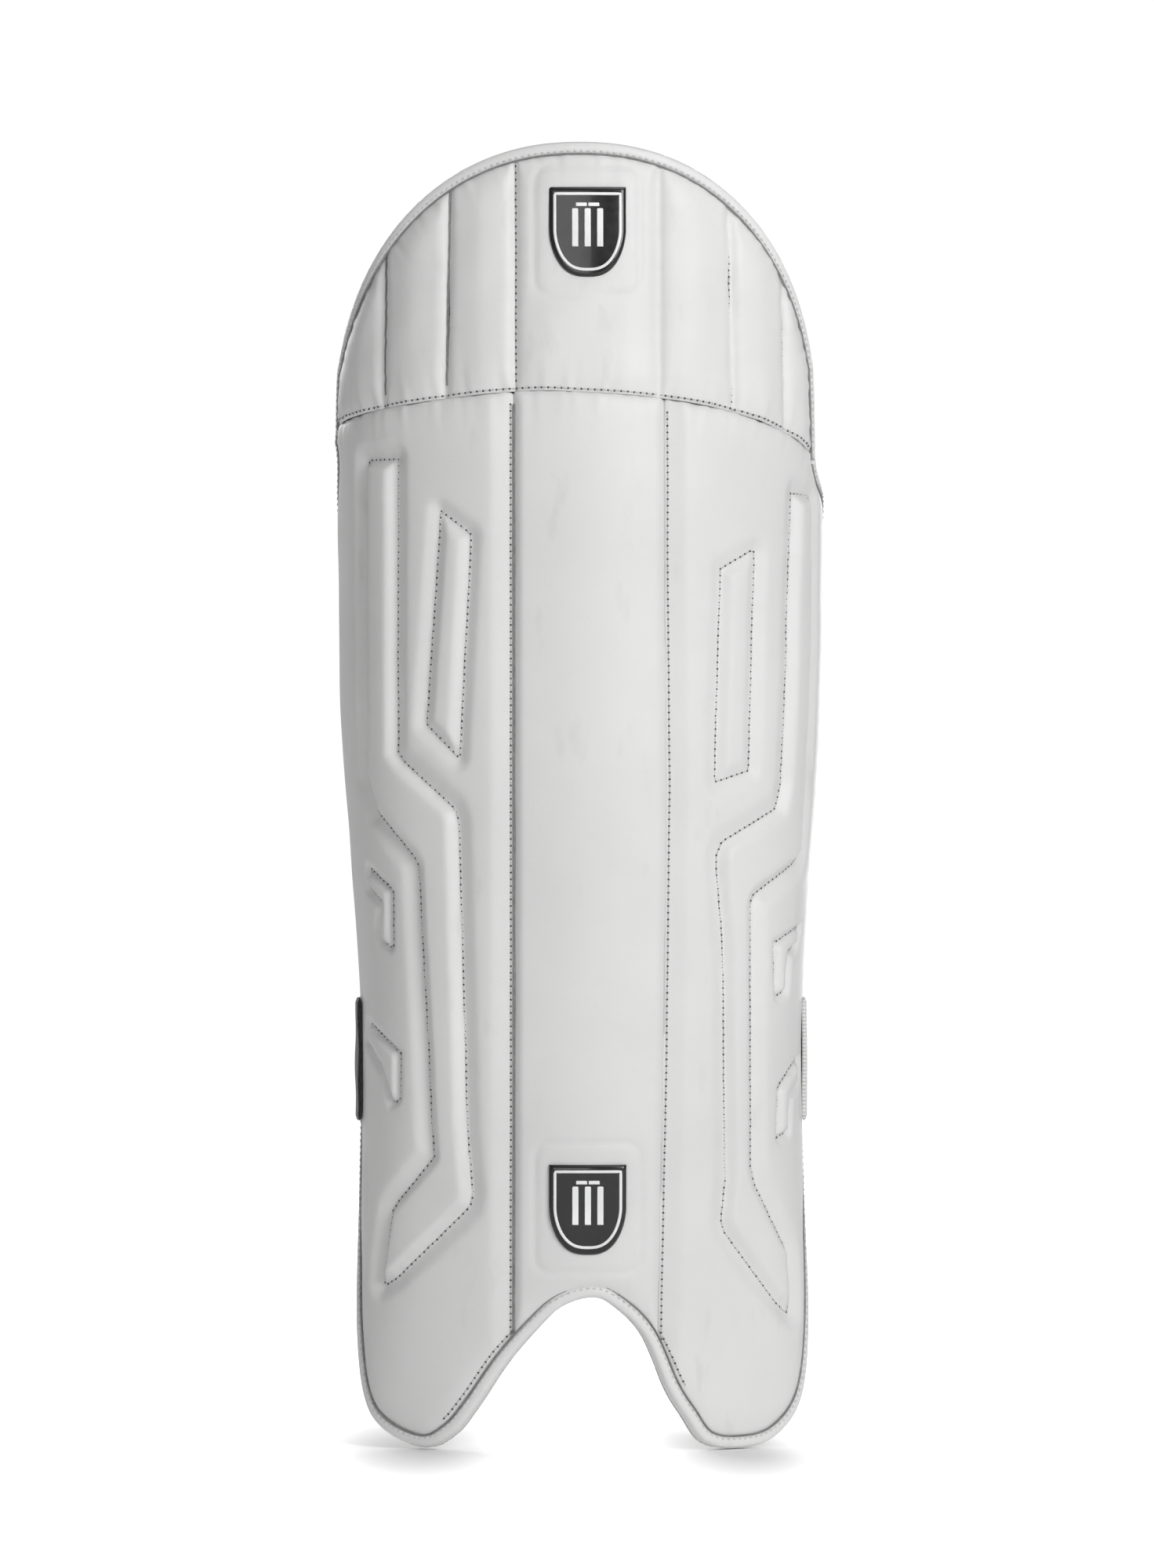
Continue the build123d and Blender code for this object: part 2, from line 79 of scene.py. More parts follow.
# Panels, as (x, z) seen from the front --------------------------------
CENTRE_LEFT = ((-38.3, 560), (-38.3, 40))
CENTRE_RIGHT = ((40.3, 560), (40.6, 430), (41.5, 340), (40, 200), (37.5, 79), (37, 30))
LEFT_RIDGE = ((-98.3, 507), (-98.3, 357), (-95, 352), (-69, 328), (-67, 322), (-66.3, 300), (-62.3, 163),
              (-59.5, 131), (-61, 125), (-99, 87), (-105.4, 83), (-105.2, 92), (-103.5, 105), (-101, 122),
              (-98, 127), (-79.3, 150), (-80.3, 162.5), (-85.5, 260), (-87.5, 298), (-89.5, 303),
              (-108, 325), (-113, 345), (-113.6, 507))
RIGHT_RIDGE = ((109.2, 490), (106.3, 402), (103.8, 341), (100.8, 328), (71, 311), (67.9, 303),
               (71.2, 264), (72, 239.5), (73.3, 138.4), (70.8, 117), (73, 111), (101, 74), (107.5, 68),
               (108, 78), (106.4, 102), (89, 136), (87.2, 145), (87.2, 178.5), (86.7, 279), (88.5, 284),
               (110, 299), (113.5, 303), (116.5, 341), (119.6, 422), (119.8, 489))
LEFT_LOZENGE = ((-75.5, 480), (-60, 468), (-66, 353.5), (-83, 371))
RIGHT_LOZENGE = ((69.9, 450.5), (87.9, 461), (85, 347.5), (66.6, 341.4))
VENTS = (
    ((-111.5, 297), (-100.3, 286), (-99.8, 256.5), (-104.6, 259), (-106.2, 267), (-104.7, 279), (-111, 287)),
    ((-111, 217), (-96.2, 202.6), (-96.2, 179.4), (-99.4, 176.8), (-104.2, 194), (-111.4, 208)),
    ((113, 267), (98.8, 258.6), (99.7, 231), (104.2, 234), (105.5, 253), (110, 257)),
    ((112.3, 199.3), (101, 184), (100.3, 158.5), (105.7, 161.4), (106.6, 179.7), (111, 185.3)),
)
KNEE_SEAMS = (
    ((-73.5, 500), (-72, 560), (-69.5, 690)),
    ((-104, 490), (-103.5, 690)),
    ((-37, 500), (-37, 690)),
    ((37, 500), (37, 690)),
    ((77, 490), (75, 590), (73, 690)),
    ((105, 480), (101.5, 690)),
)
INSTEP = ((-106, 10), (-85, 1), (-70, 8), (-58, 22), (-42, 45), (-26, 63), (-13, 74.4), (2, 79), (13, 75),
          (29, 60), (42, 32), (51, 18), (62, 4), (79, 0.5), (99, 5))
# Sides of the shin: the lobe's corner as (x, z) from the front, then pairs of distance back and height.
LEFT_SIDE = ((-115, 26), 69, 60, 80, 110, 90, 150, 101, 200, 111.5, 300, 112, 440, 107, 478, 94, 506)
RIGHT_SIDE = ((114, 24), 69, 60, 80, 110, 90, 150, 101, 200, 111.5, 300, 112, 430, 107, 464, 94, 490)

EMBLEM_LOW = 125.0
EMBLEM_HIGH = 622.5

# Sewn form ------------------------------------------------------------
STEP = 1.6                 # grid spacing of the outer panels
LINING_STEP = 3.0
COVER_THICK = 1.2
EDGE_DEPTH = 3.8           # how far the cover dives towards the bound edge
EDGE_FLAT = 5.4
EDGE_ROUND = 12.0
SEAM_DEPTH = 2.6
SHIN_SEAM_WIDTH = 10       # reach of the knee seam's groove below the seam and above it
KNEE_SEAM_WIDTH = 13
CENTRE_GROOVE = (4.5, 3.8) # width and depth: the panel seams on the centre panel and on the wings,
WING_GROOVE = (11, 4.4)    # and the seams between the knee's channels
CHANNEL_GROOVE = (7, 4.8)
CENTRE_CROWN = (1.6, 38)   # rise between seams, and the distance from them that it takes
CHANNEL_CROWN = (1.8, 20)
LINING_DEPTH = 18.6
LINING_EDGE = 10.0         # its depth at the bound edge
LINING_THICK = 0.8
LINING_GAP = 0.6           # least distance from the lining's outer face to the pads sewn on it
TAPE_INSET = 10            # points of the seam that the tape leaves free at each end
CANE_TOP = 492.0
CANE_SWELL = 2.4           # how far the lining stands over the top ends of the canes
SHOULDER_SOFT = 0.02
THREAD = 0.42              # radius of a stitch
HOLE = 0.62                # radius of a needle hole
STITCH_PITCH = 3.4
BIND_STITCHES = 4.9        # distance of the binding's stitches from the bound edge
BIND_STITCH_DEPTH = 1.15
BIND_SEAM = 6.5            # distance of the seam where the binding meets the cover
NOTCH_SEAM = 8.8           # distance of the stitched seam beside the instep notch
NOTCH_SEAM_RUNS = ((-74, -36), (36, 52))


# Surface --------------------------------------------------------------
def smoothstep(t):
    t = np.clip(t, 0, 1)
    return t * t * (3 - 2 * t)


def half_width(z):
    flare, fade = LOBE_FLARE
    half = WAIST_HALF + flare * np.exp(-(z / fade) ** 2)
    for gain, start, length in WIDENINGS:
        half = half + gain * smoothstep((z - start) / length)
    return half


def front_line(z):
    """Y of the outer surface on the middle line: bowed forward at mid height."""
    return FRONT_Y + BOW * ((z - HEIGHT / 2) / (HEIGHT / 2)) ** 2


def arcs(z):
    """Front and side radius of the U section at height z, and the centres of both arcs."""
    half = half_width(z)
    side = SIDE_RATIO * half
    front = side + (half - side) / math.sin(SHOULDER)
    front_y = front_line(z)
    side_y = front_y + front - (front - side) * math.cos(SHOULDER)
    return front, side, half - side, front_y + front, side_y


def place(s, z, depth=0.0):
    """Points at arc length s from the middle line, height z and depth below the outer surface."""
    s, z, depth = np.broadcast_arrays(np.asarray(s, float), np.asarray(z, float), np.asarray(depth, float))
    front, side, side_x, front_c, side_y = arcs(z)
    sign = np.where(s < 0, -1.0, 1.0)
    length = np.abs(s)
    shoulder = front * SHOULDER
    flat = length <= shoulder
    turn = np.where(flat, length / front, SHOULDER + (length - shoulder) / side)
    x = np.where(flat, (front - depth) * np.sin(turn), side_x + (side - depth) * np.sin(turn))
    y = np.where(flat, front_c - (front - depth) * np.cos(turn), side_y - (side - depth) * np.cos(turn))
    return np.stack([sign * x, y, z], axis=-1)


def s_at_turn(turn, z):
    front, side, side_x, front_c, side_y = arcs(z)
    return front * SHOULDER + side * (turn - SHOULDER)


def s_of_x(x, z):
    """Arc length of a point seen from the front at x, z."""
    x, z = np.broadcast_arrays(np.asarray(x, float), np.asarray(z, float))
    front, side, side_x, front_c, side_y = arcs(z)
    across = np.abs(x)
    flat = across <= front * math.sin(SHOULDER)
    near = front * np.arcsin(np.clip(across / front, -1, 1))
    far = front * SHOULDER + side * (np.arcsin(np.clip((across - side_x) / side, -1, 1)) - SHOULDER)
    return np.sign(x) * np.where(flat, near, far)


def s_of_back(back, z):
    """Arc length of a point seen from the side, at a distance behind the front line."""
    front, side, side_x, front_c, side_y = arcs(z)
    return s_at_turn(np.arccos(np.clip((side_y - FRONT_Y - back) / side, -1, 1)), z)


def smooth_line(points, step):
    """Even points along a Catmull-Rom curve through the given ones."""
    p = np.asarray(points, float)
    p = np.vstack([2 * p[0] - p[1], p, 2 * p[-1] - p[-2]])
    t = np.linspace(0, 1, 24, endpoint=False)[:, None]
    runs = []
    for a, b, c, d in zip(p, p[1:], p[2:], p[3:]):
        square = 2 * a - 5 * b + 4 * c - d
        cube = 3 * b - a - 3 * c + d
        runs.append(0.5 * (2 * b + (c - a) * t + square * t ** 2 + cube * t ** 3))
    return even(np.vstack(runs + [p[-2][None]]), step)


def run_length(p):
    """Length along a polyline up to each of its points."""
    return np.concatenate([[0], np.cumsum(np.linalg.norm(np.diff(p, axis=0), axis=1))])


def directions(p, closed=False):
    """Unit direction of a polyline at each of its points."""
    along = np.roll(p, -1, axis=0) - np.roll(p, 1, axis=0) if closed else np.gradient(p, axis=0)
    return along / np.linalg.norm(along, axis=1)[:, None]


def turned(along):
    """Directions turned a quarter to the left."""
    return np.stack([-along[:, 1], along[:, 0]], axis=-1)


def closed_line(line):
    return np.vstack([line, line[:1]])


def even(points, step, closed=False):
    """The same polyline with evenly spaced points."""
    p = np.asarray(points, float)
    if closed:
        p = closed_line(p)
    length = run_length(p)
    count = max(2, int(round(length[-1] / step)) + 1)
    at = np.linspace(0, length[-1], count)
    out = np.stack([np.interp(at, length, p[:, i]) for i in range(p.shape[1])], axis=-1)
    return out[:-1] if closed else out


def on_surface(points, step, closed=False):
    """A line drawn in the front view, as (s, z) points."""
    p = even(points, step, closed)
    return np.stack([s_of_x(p[:, 0], p[:, 1]), p[:, 1]], axis=-1)


# Outlines in (s, z) ---------------------------------------------------
def seam_line():
    """Knee seam, from the left edge of the pad to the right one."""
    middle = [(float(s_of_x(x, z)), z) for x, z in SEAM_FRONT]
    left = (-float(s_at_turn(SEAM_TURN_LEFT, SEAM_LEFT_Z)), SEAM_LEFT_Z)
    right = (float(s_at_turn(SEAM_TURN_RIGHT, SEAM_RIGHT_Z)), SEAM_RIGHT_Z)
    return smooth_line([left] + middle + [right], LINE_STEP)


def side_points(side, sign):
    """Points of one side of the shin, from its lobe upwards."""
    corner, rest = side[0], side[1:]
    found = [(float(s_of_x(*corner)), corner[1])]
    for back, z in zip(rest[::2], rest[1::2]):
        found.append((sign * float(s_of_back(back, z)), z))
    return found


def free_edge():
    """Bound edge of the shin, from the left end of the seam round the notch to its right end."""
    left = side_points(LEFT_SIDE, -1)[::-1]
    right = side_points(RIGHT_SIDE, 1)
    bottom = [(float(s_of_x(x, z)), z) for x, z in INSTEP]
    seam = seam_line()
    out, down = SEAM_LEAD
    start = [tuple(seam[0]), (seam[0][0] - out, seam[0][1] - down)]
    end = [(seam[-1][0] + out, seam[-1][1] - down), tuple(seam[-1])]
    return smooth_line(start + left + bottom + right + end, LINE_STEP)


def dome_edge():
    """Bound edge of the knee section, from the left end of the seam over the dome to its right end."""
    seam = seam_line()
    turn = np.radians(np.linspace(172, 8, 60))
    power = 2 / DOME_POWER
    x = DOME_SHIFT + np.sign(np.cos(turn)) * DOME_HALF * np.abs(np.cos(turn)) ** power
    z = DOME_FOOT + (HEIGHT - DOME_DROP - DOME_FOOT) * np.sin(turn) ** power
    dome = [(float(s_of_x(a, b)), b) for a, b in zip(x, z)]
    return smooth_line([tuple(seam[0])] + dome + [tuple(seam[-1])], LINE_STEP)


SEAM = seam_line()
SHIN_EDGE = free_edge()
DOME_EDGE = dome_edge()
SHIN_OUTLINE = np.vstack([SHIN_EDGE, SEAM[::-1][1:-1]])
KNEE_OUTLINE = np.vstack([DOME_EDGE, SEAM[::-1][1:-1]])


# Distances ------------------------------------------------------------
def nearest(points, line, closed=False):
    """Distance from each point to a polyline, and how far along the polyline it falls."""
    a = np.asarray(line, float)
    if closed:
        a = closed_line(a)
    a, run = a[:-1], np.diff(a, axis=0)
    size = np.maximum((run ** 2).sum(1), 1e-12)
    start = np.concatenate([[0], np.cumsum(np.sqrt(size))])[:-1]
    best = np.empty(len(points))
    along = np.empty(len(points))
    for low in range(0, len(points), BATCH):
        part = slice(low, low + BATCH)
        p = points[part]
        t = np.clip(((p[:, None] - a) * run).sum(2) / size, 0, 1)
        gap = ((a + t[..., None] * run - p[:, None]) ** 2).sum(2)
        k = gap.argmin(1)
        row = np.arange(len(p))
        best[part] = np.sqrt(gap[row, k])
        along[part] = start[k] + t[row, k] * np.sqrt(size[k])
    return best, along


def nearest_point(points, line):
    """Closest point of a closed polyline."""
    a = np.asarray(line, float)
    run = np.roll(a, -1, axis=0) - a
    size = np.maximum((run ** 2).sum(1), 1e-12)
    t = np.clip(((points[:, None] - a) * run).sum(2) / size, 0, 1)
    foot = a + t[..., None] * run
    k = ((foot - points[:, None]) ** 2).sum(2).argmin(1)
    return foot[np.arange(len(points)), k]


def inside(points, polygon):
    """True for the points inside a closed outline."""
    x, y = points[:, 0], points[:, 1]
    hit = np.zeros(len(points), bool)
    for (x0, y0), (x1, y1) in zip(polygon, np.roll(polygon, -1, axis=0)):
        if y0 == y1:
            continue
        cross = (y0 > y) != (y1 > y)
        hit ^= cross & (x < x0 + (y - y0) * (x1 - x0) / (y1 - y0))
    return hit


def ripple(s, z, scale, seed):
    """Smooth unevenness between about -1 and 1, the same every run."""
    rng = np.random.default_rng(seed)
    total = np.zeros(np.broadcast(s, z).shape)
    for _ in range(7):
        turn, phase = rng.uniform(0, 2 * math.pi, 2)
        pitch = scale * rng.uniform(0.6, 1.6)
        total = total + np.sin((s * math.cos(turn) + z * math.sin(turn)) * 2 * math.pi / pitch + phase)
    return total / 3.2


def uneven(points, height, scale, seed):
    return height * ripple(points[:, 0], points[:, 1], scale, seed)


def bevel(distance, width, depth):
    """Depth of a sewn groove: deepest on the stitch line, rounding up to nothing at its width."""
    t = np.clip(distance / width, 0, 1)
    return depth * (1 - np.sqrt(1 - (1 - t) ** 2))


def chamfer(distance, width, depth):
    """Depth of an embossed groove: a straight slope up to a flat, with a soft shoulder."""
    rise = 1 - distance / width
    return depth * 0.5 * (rise + np.sqrt(rise ** 2 + SHOULDER_SOFT))


# Meshes ---------------------------------------------------------------
def make_mesh(name, points, faces, uv=None):
    """Smooth-shaded object from points in millimetres."""
    mesh = bpy.data.meshes.new(name)
    mesh.from_pydata((np.asarray(points) * MM).tolist(), [], [tuple(int(i) for i in f) for f in faces])
    if uv is not None:
        layer = mesh.uv_layers.new(name="UVMap")
        index = np.empty(len(mesh.loops), np.int64)
        mesh.loops.foreach_get("vertex_index", index)
        layer.data.foreach_set("uv", (np.asarray(uv, float)[index] * MM * 10).ravel())
    mesh.update()
    mesh.polygons.foreach_set("use_smooth", [True] * len(mesh.polygons))
    piece = bpy.data.objects.new(name, mesh)
    bpy.context.scene.collection.objects.link(piece)
    return piece


def solid(name, points, faces, uv=None):
    """A closed mesh with every face turned outwards."""
    piece = make_mesh(name, points, faces, uv)
    mesh = bmesh.new()
    mesh.from_mesh(piece.data)
    bmesh.ops.recalc_face_normals(mesh, faces=mesh.faces)
    mesh.to_mesh(piece.data)
    mesh.free()
    return piece


def grid_region(outline, step):
    """Square grid clipped to an outline, its outer ring of points moved onto the outline."""
    low, high = outline.min(0) - step, outline.max(0) + step
    s = np.arange(low[0], high[0], step)
    z = np.arange(low[1], high[1], step)
    grid_s, grid_z = np.meshgrid(s, z)
    points = np.stack([grid_s.ravel(), grid_z.ravel()], axis=-1)
    within = inside(points, outline)
    columns = len(s)
    block = within.reshape(len(z), columns)
    cells = block[:-1, :-1].astype(int) + block[1:, :-1] + block[:-1, 1:] + block[1:, 1:]
    rows, cols = np.nonzero(cells >= 2)
    corner = rows * columns + cols
    faces = np.stack([corner, corner + 1, corner + columns + 1, corner + columns], axis=-1)
    used = np.unique(faces)
    remap = np.full(len(points), -1)
    remap[used] = np.arange(len(used))
    faces = remap[faces]
    points = points[used]
    edges = np.sort(np.concatenate([faces[:, [i, (i + 1) % 4]] for i in range(4)]), axis=1)
    unique, count = np.unique(edges, axis=0, return_counts=True)
    rim = np.unique(unique[count == 1])
    points[rim] = nearest_point(points[rim], outline)
    return points, faces


def two_skins(faces, count):
    """Faces of a closed sheet: outer skin, inner skin count points later, and the wall round the rim."""
    edges = np.concatenate([faces[:, [i, (i + 1) % 4]] for i in range(4)])
    _, first, uses = np.unique(np.sort(edges, axis=1), axis=0, return_index=True, return_counts=True)
    rim = edges[first[uses == 1]]
    wall = np.stack([rim[:, 1], rim[:, 0], rim[:, 0] + count, rim[:, 1] + count], axis=-1)
    return np.concatenate([faces, faces[:, ::-1] + count, wall])


def sheet(name, outline, step, depth_of, thick):
    """Closed sheet of material over a region of the surface; depth_of gives its outer depth."""
    flat, faces = grid_region(outline, step)
    depth = depth_of(flat)
    skins = [place(flat[:, 0], flat[:, 1], depth), place(flat[:, 0], flat[:, 1], depth + thick)]
    return make_mesh(name, np.concatenate(skins), two_skins(faces, len(flat)), np.concatenate([flat, flat]))


def ribbon(name, line, section, inward, closed=False, depth_of=None):
    """Solid swept along a line in (s, z). The section is (distance inward, depth) pairs; the depth is below
    the outer surface or, with depth_of, below the mesh that it gives."""
    p = np.asarray(line, float)
    normal = turned(directions(p, closed)) * inward
    across = np.array([q[0] for q in section])
    depth = np.array([q[1] for q in section])
    s = p[:, :1] + normal[:, :1] * across
    z = p[:, 1:] + normal[:, 1:] * across
    if depth_of is None:
        base = np.zeros((len(p), 1))
    else:
        base = mesh_depth(depth_of, p)[:, None]
    points = place(s, z, base + depth[None]).reshape(-1, 3)
    rows, size = len(p), len(section)
    faces = []
    for i in range(rows if closed else rows - 1):
        a, b = i * size, ((i + 1) % rows) * size
        for j in range(size):
            k = (j + 1) % size
            faces.append((a + j, a + k, b + k, b + j))
    if not closed:
        faces.append(tuple(range(size))[::-1])
        faces.append(tuple(range((rows - 1) * size, rows * size)))
    length = run_length(p)
    around = np.linspace(0, 16, size)
    uv = np.stack(np.broadcast_arrays(length[:, None], around[None]), axis=-1).reshape(-1, 2)
    return solid(name, points, faces, uv)


def oval(across, depth, half_across, half_depth, count=16, power=2.6):
    """Closed rounded section centred at (across, depth)."""
    turn = np.linspace(0, 2 * math.pi, count, endpoint=False)
    c, s = np.cos(turn), np.sin(turn)
    return [(across + half_across * np.sign(a) * abs(a) ** (2 / power),
             depth + half_depth * np.sign(b) * abs(b) ** (2 / power)) for a, b in zip(c, s)]


def mesh_depth(depth_of, points):
    """Depth of the flat-faced mesh near some points, a little shallower than the exact groove."""
    reach = STEP / 2
    shifts = ((reach, 0), (-reach, 0), (0, reach), (0, -reach))
    return sum(depth_of(points + np.array(shift)) for shift in shifts) / len(shifts)


def knots_of(lines):
    """Start and end of every stitch along some lines."""
    runs = [even(line, STITCH_PITCH) for line in lines]
    return np.concatenate([r[:-1] for r in runs]), np.concatenate([r[1:] for r in runs])


def tube_faces(count, rings, sides):
    """Faces of count separate capped tubes, each a stack of rings."""
    base = (np.arange(count) * rings * sides)[:, None, None]
    row = base + (np.arange(rings - 1) * sides)[None, :, None]
    j = np.arange(sides)
    k = (j + 1) % sides
    quads = np.stack([row + j, row + k, row + sides + k, row + sides + j], axis=-1).reshape(-1, 4)
    caps = [tuple((b + j)[::-1]) for b in base[:, 0, 0]]
    caps += [tuple(b + (rings - 1) * sides + j) for b in base[:, 0, 0]]
    return list(map(tuple, quads)) + caps


def stitches(name, lines, depth_of):
    """Separate thread stitches along lines in (s, z), lying on the surface that depth_of gives."""
    rings, sides = 5, 6
    start, end = knots_of(lines)
    count = len(start)
    t = np.linspace(0.2, 0.8, rings)[:, None]
    centre = start[:, None] + (end - start)[:, None] * t
    along = end - start
    across = turned(along) / np.linalg.norm(along, axis=1)[:, None]
    sink = np.array([0.8, 0.1, 0, 0.1, 0.8]) * THREAD
    size = THREAD * np.array([0.35, 0.9, 1, 0.9, 0.35])
    depth = mesh_depth(depth_of, centre.reshape(-1, 2)).reshape(count, rings) - THREAD * 0.5 + sink
    turn = np.arange(sides) / sides * 2 * math.pi
    side = size[:, None] * np.cos(turn)
    s = centre[..., :1] + across[:, None, :1] * side
    z = centre[..., 1:] + across[:, None, 1:] * side
    points = place(s, z, depth[..., None] + size[:, None] * np.sin(turn)).reshape(-1, 3)
    return solid(name, points, tube_faces(count, rings, sides))


def needle_holes(name, lines, depth_of):
    """Small dark pits where the needle went through, one at each stitch end."""
    sides = 8
    start, _ = knots_of(lines)
    turn = np.arange(sides) / sides * 2 * math.pi
    depth = mesh_depth(depth_of, start)
    points = []
    for scale, sink in ((1.0, 0.5), (0.9, -0.2), (0.45, -0.26)):
        s = start[:, :1] + scale * HOLE * np.cos(turn)
        z = start[:, 1:] + scale * HOLE * np.sin(turn)
        points.append(place(s, z, (depth + sink)[:, None]))
    return solid(name, np.stack(points, axis=1).reshape(-1, 3), tube_faces(len(start), 3, sides))


# Depths of the outer panels -------------------------------------------
def join(*depths):
    """Several grooves as one, soft where they meet."""
    return sum(np.maximum(d, 0) ** 3 for d in depths) ** (1 / 3)


def edge_depth(distance):
    return bevel(np.maximum(distance - EDGE_FLAT, 0), EDGE_ROUND, EDGE_DEPTH)


def pucker(distance, along, reach, height, seed):
    """Little gathers that the thread pulls into the cover beside a seam."""
    rng = np.random.default_rng(seed)
    wave = 0
    for pitch, share in ((6.3, 0.4), (9.7, 0.6), (15.1, 0.5)):
        wave = wave + share * np.sin(along * 2 * math.pi / pitch + rng.uniform(0, 6.3))
    return height * wave * np.exp(-distance / reach)


RIDGES = [on_surface(line, LINE_STEP, closed=True) for line in (LEFT_RIDGE, RIGHT_RIDGE)]
LOZENGES = [on_surface(line, LINE_STEP, closed=True) for line in (LEFT_LOZENGE, RIGHT_LOZENGE)]
VENT_LINES = [on_surface(v, 1.5, closed=True) for v in VENTS]
CENTRES = [on_surface(CENTRE_LEFT, 3.0), on_surface(CENTRE_RIGHT, 3.0)]
KNEE_LINES = [on_surface(line, 3.0) for line in KNEE_SEAMS]


def shin_common(points):
    """Grooves and gathers along the shin's bound edge and the knee seam."""
    edge, _ = nearest(points, SHIN_EDGE)
    seam, along = nearest(points, SEAM)
    gather = pucker(seam, along, 9, 0.35, 3)
    return edge_depth(edge), bevel(seam, SHIN_SEAM_WIDTH, SEAM_DEPTH), gather


def panel_distance(points):
    """Distance to the nearer seam of the centre panel."""
    return np.minimum(nearest(points, CENTRES[0])[0], nearest(points, CENTRES[1])[0])


def centre_depth(points):
    """Depth of the centre panel's outer face below the plain surface."""
    edge, top, gather = shin_common(points)
    side = panel_distance(points)
    rise, reach = CENTRE_CROWN
    crown = rise * smoothstep(side / reach)
    patch = patch_line(points, EMBLEM_LOW)
    groove = join(edge, top, chamfer(side, *CENTRE_GROOVE))
    return groove - crown + gather + patch + uneven(points, 0.12, 60, 5)


def emboss(points, line, outer, inner, depth, lift):
    """Groove round a sewn-in shape, and the flat that stands up inside it."""
    distance, along = nearest(points, line, closed=True)
    within_it = inside(points, line)
    groove = chamfer(distance, np.where(within_it, inner, outer), depth)
    return groove, np.where(within_it, lift * smoothstep(distance / inner), 0), distance, along


def spread(values, where):
    """Values given for some of the points, and 0 for the rest."""
    full = np.zeros(len(where))
    full[where] = values
    return full


# Embossed shapes: width of the groove outside and inside the line, its depth, the lift of the flat inside,
# and the reach and height of the gathers.
EMBOSSED = ((RIDGES, 9.0, 5.5, 4.4, 0.9, 4.5, 0.16), (LOZENGES, 7.0, 6.0, 3.6, 0.5, 3.5, 0.16),
            (VENT_LINES, 3.6, 2.8, 3.4, 0.6, 2.5, 0.2))


def wing_depth(points):
    """Depth of a wing's outer face below the plain surface."""
    edge, top, gather = shin_common(points)
    grooves = [edge, top, chamfer(panel_distance(points), *WING_GROOVE)]
    raised = 0
    side = points[:, 0] > 0
    for shapes, outer, inner, depth, lift, reach, height in EMBOSSED:
        for k, shape in enumerate(shapes):
            near = side == (shape[0, 0] > 0)
            if not near.any():
                continue
            groove, up, distance, along = emboss(points[near], shape, outer, inner, depth, lift)
            grooves.append(spread(groove, near))
            raised = raised + spread(up, near)
            gather = gather + spread(pucker(distance, along, reach, height, 20 + k), near)
    return join(*grooves) - raised + gather + uneven(points, 0.22, 55, 6)


def knee_depth(points):
    """Depth of the quilted knee cover's outer face below the plain surface."""
    edge, along_edge = nearest(points, DOME_EDGE)
    seam, along_seam = nearest(points, SEAM)
    grooves = [edge_depth(edge), bevel(seam, KNEE_SEAM_WIDTH, SEAM_DEPTH)]
    gather = pucker(seam, along_seam, 9, 0.4, 7)
    gather = gather + pucker(np.maximum(edge - EDGE_FLAT, 0), along_edge, 8, 0.35, 8)
    crown = np.inf
    for k, line in enumerate(KNEE_LINES):
        distance, along = nearest(points, line)
        grooves.append(bevel(distance, *CHANNEL_GROOVE))
        gather = gather + pucker(distance, along, 7, 0.22, 50 + k)
        crown = np.minimum(crown, distance)
    rise, reach = CHANNEL_CROWN
    swell = rise * smoothstep(crown / reach) * smoothstep((edge - EDGE_FLAT) / 18)
    return join(*grooves) - swell + gather + patch_line(points, EMBLEM_HIGH) + uneven(points, 0.3, 42, 9)


def patch_line(points, z):
    """Faint pressed outline of the square that the emblem sits on."""
    half_s, half_z, corner = 27.0, 33.0, 8.0
    across, up = np.abs(points[:, 0]), np.abs(points[:, 1] - z)
    q = np.stack([across - half_s + corner, up - half_z + corner], axis=-1)
    gap = np.linalg.norm(np.maximum(q, 0), axis=1) + np.minimum(q.max(1), 0) - corner
    return 0.7 * np.exp(-(gap / 1.6) ** 2)


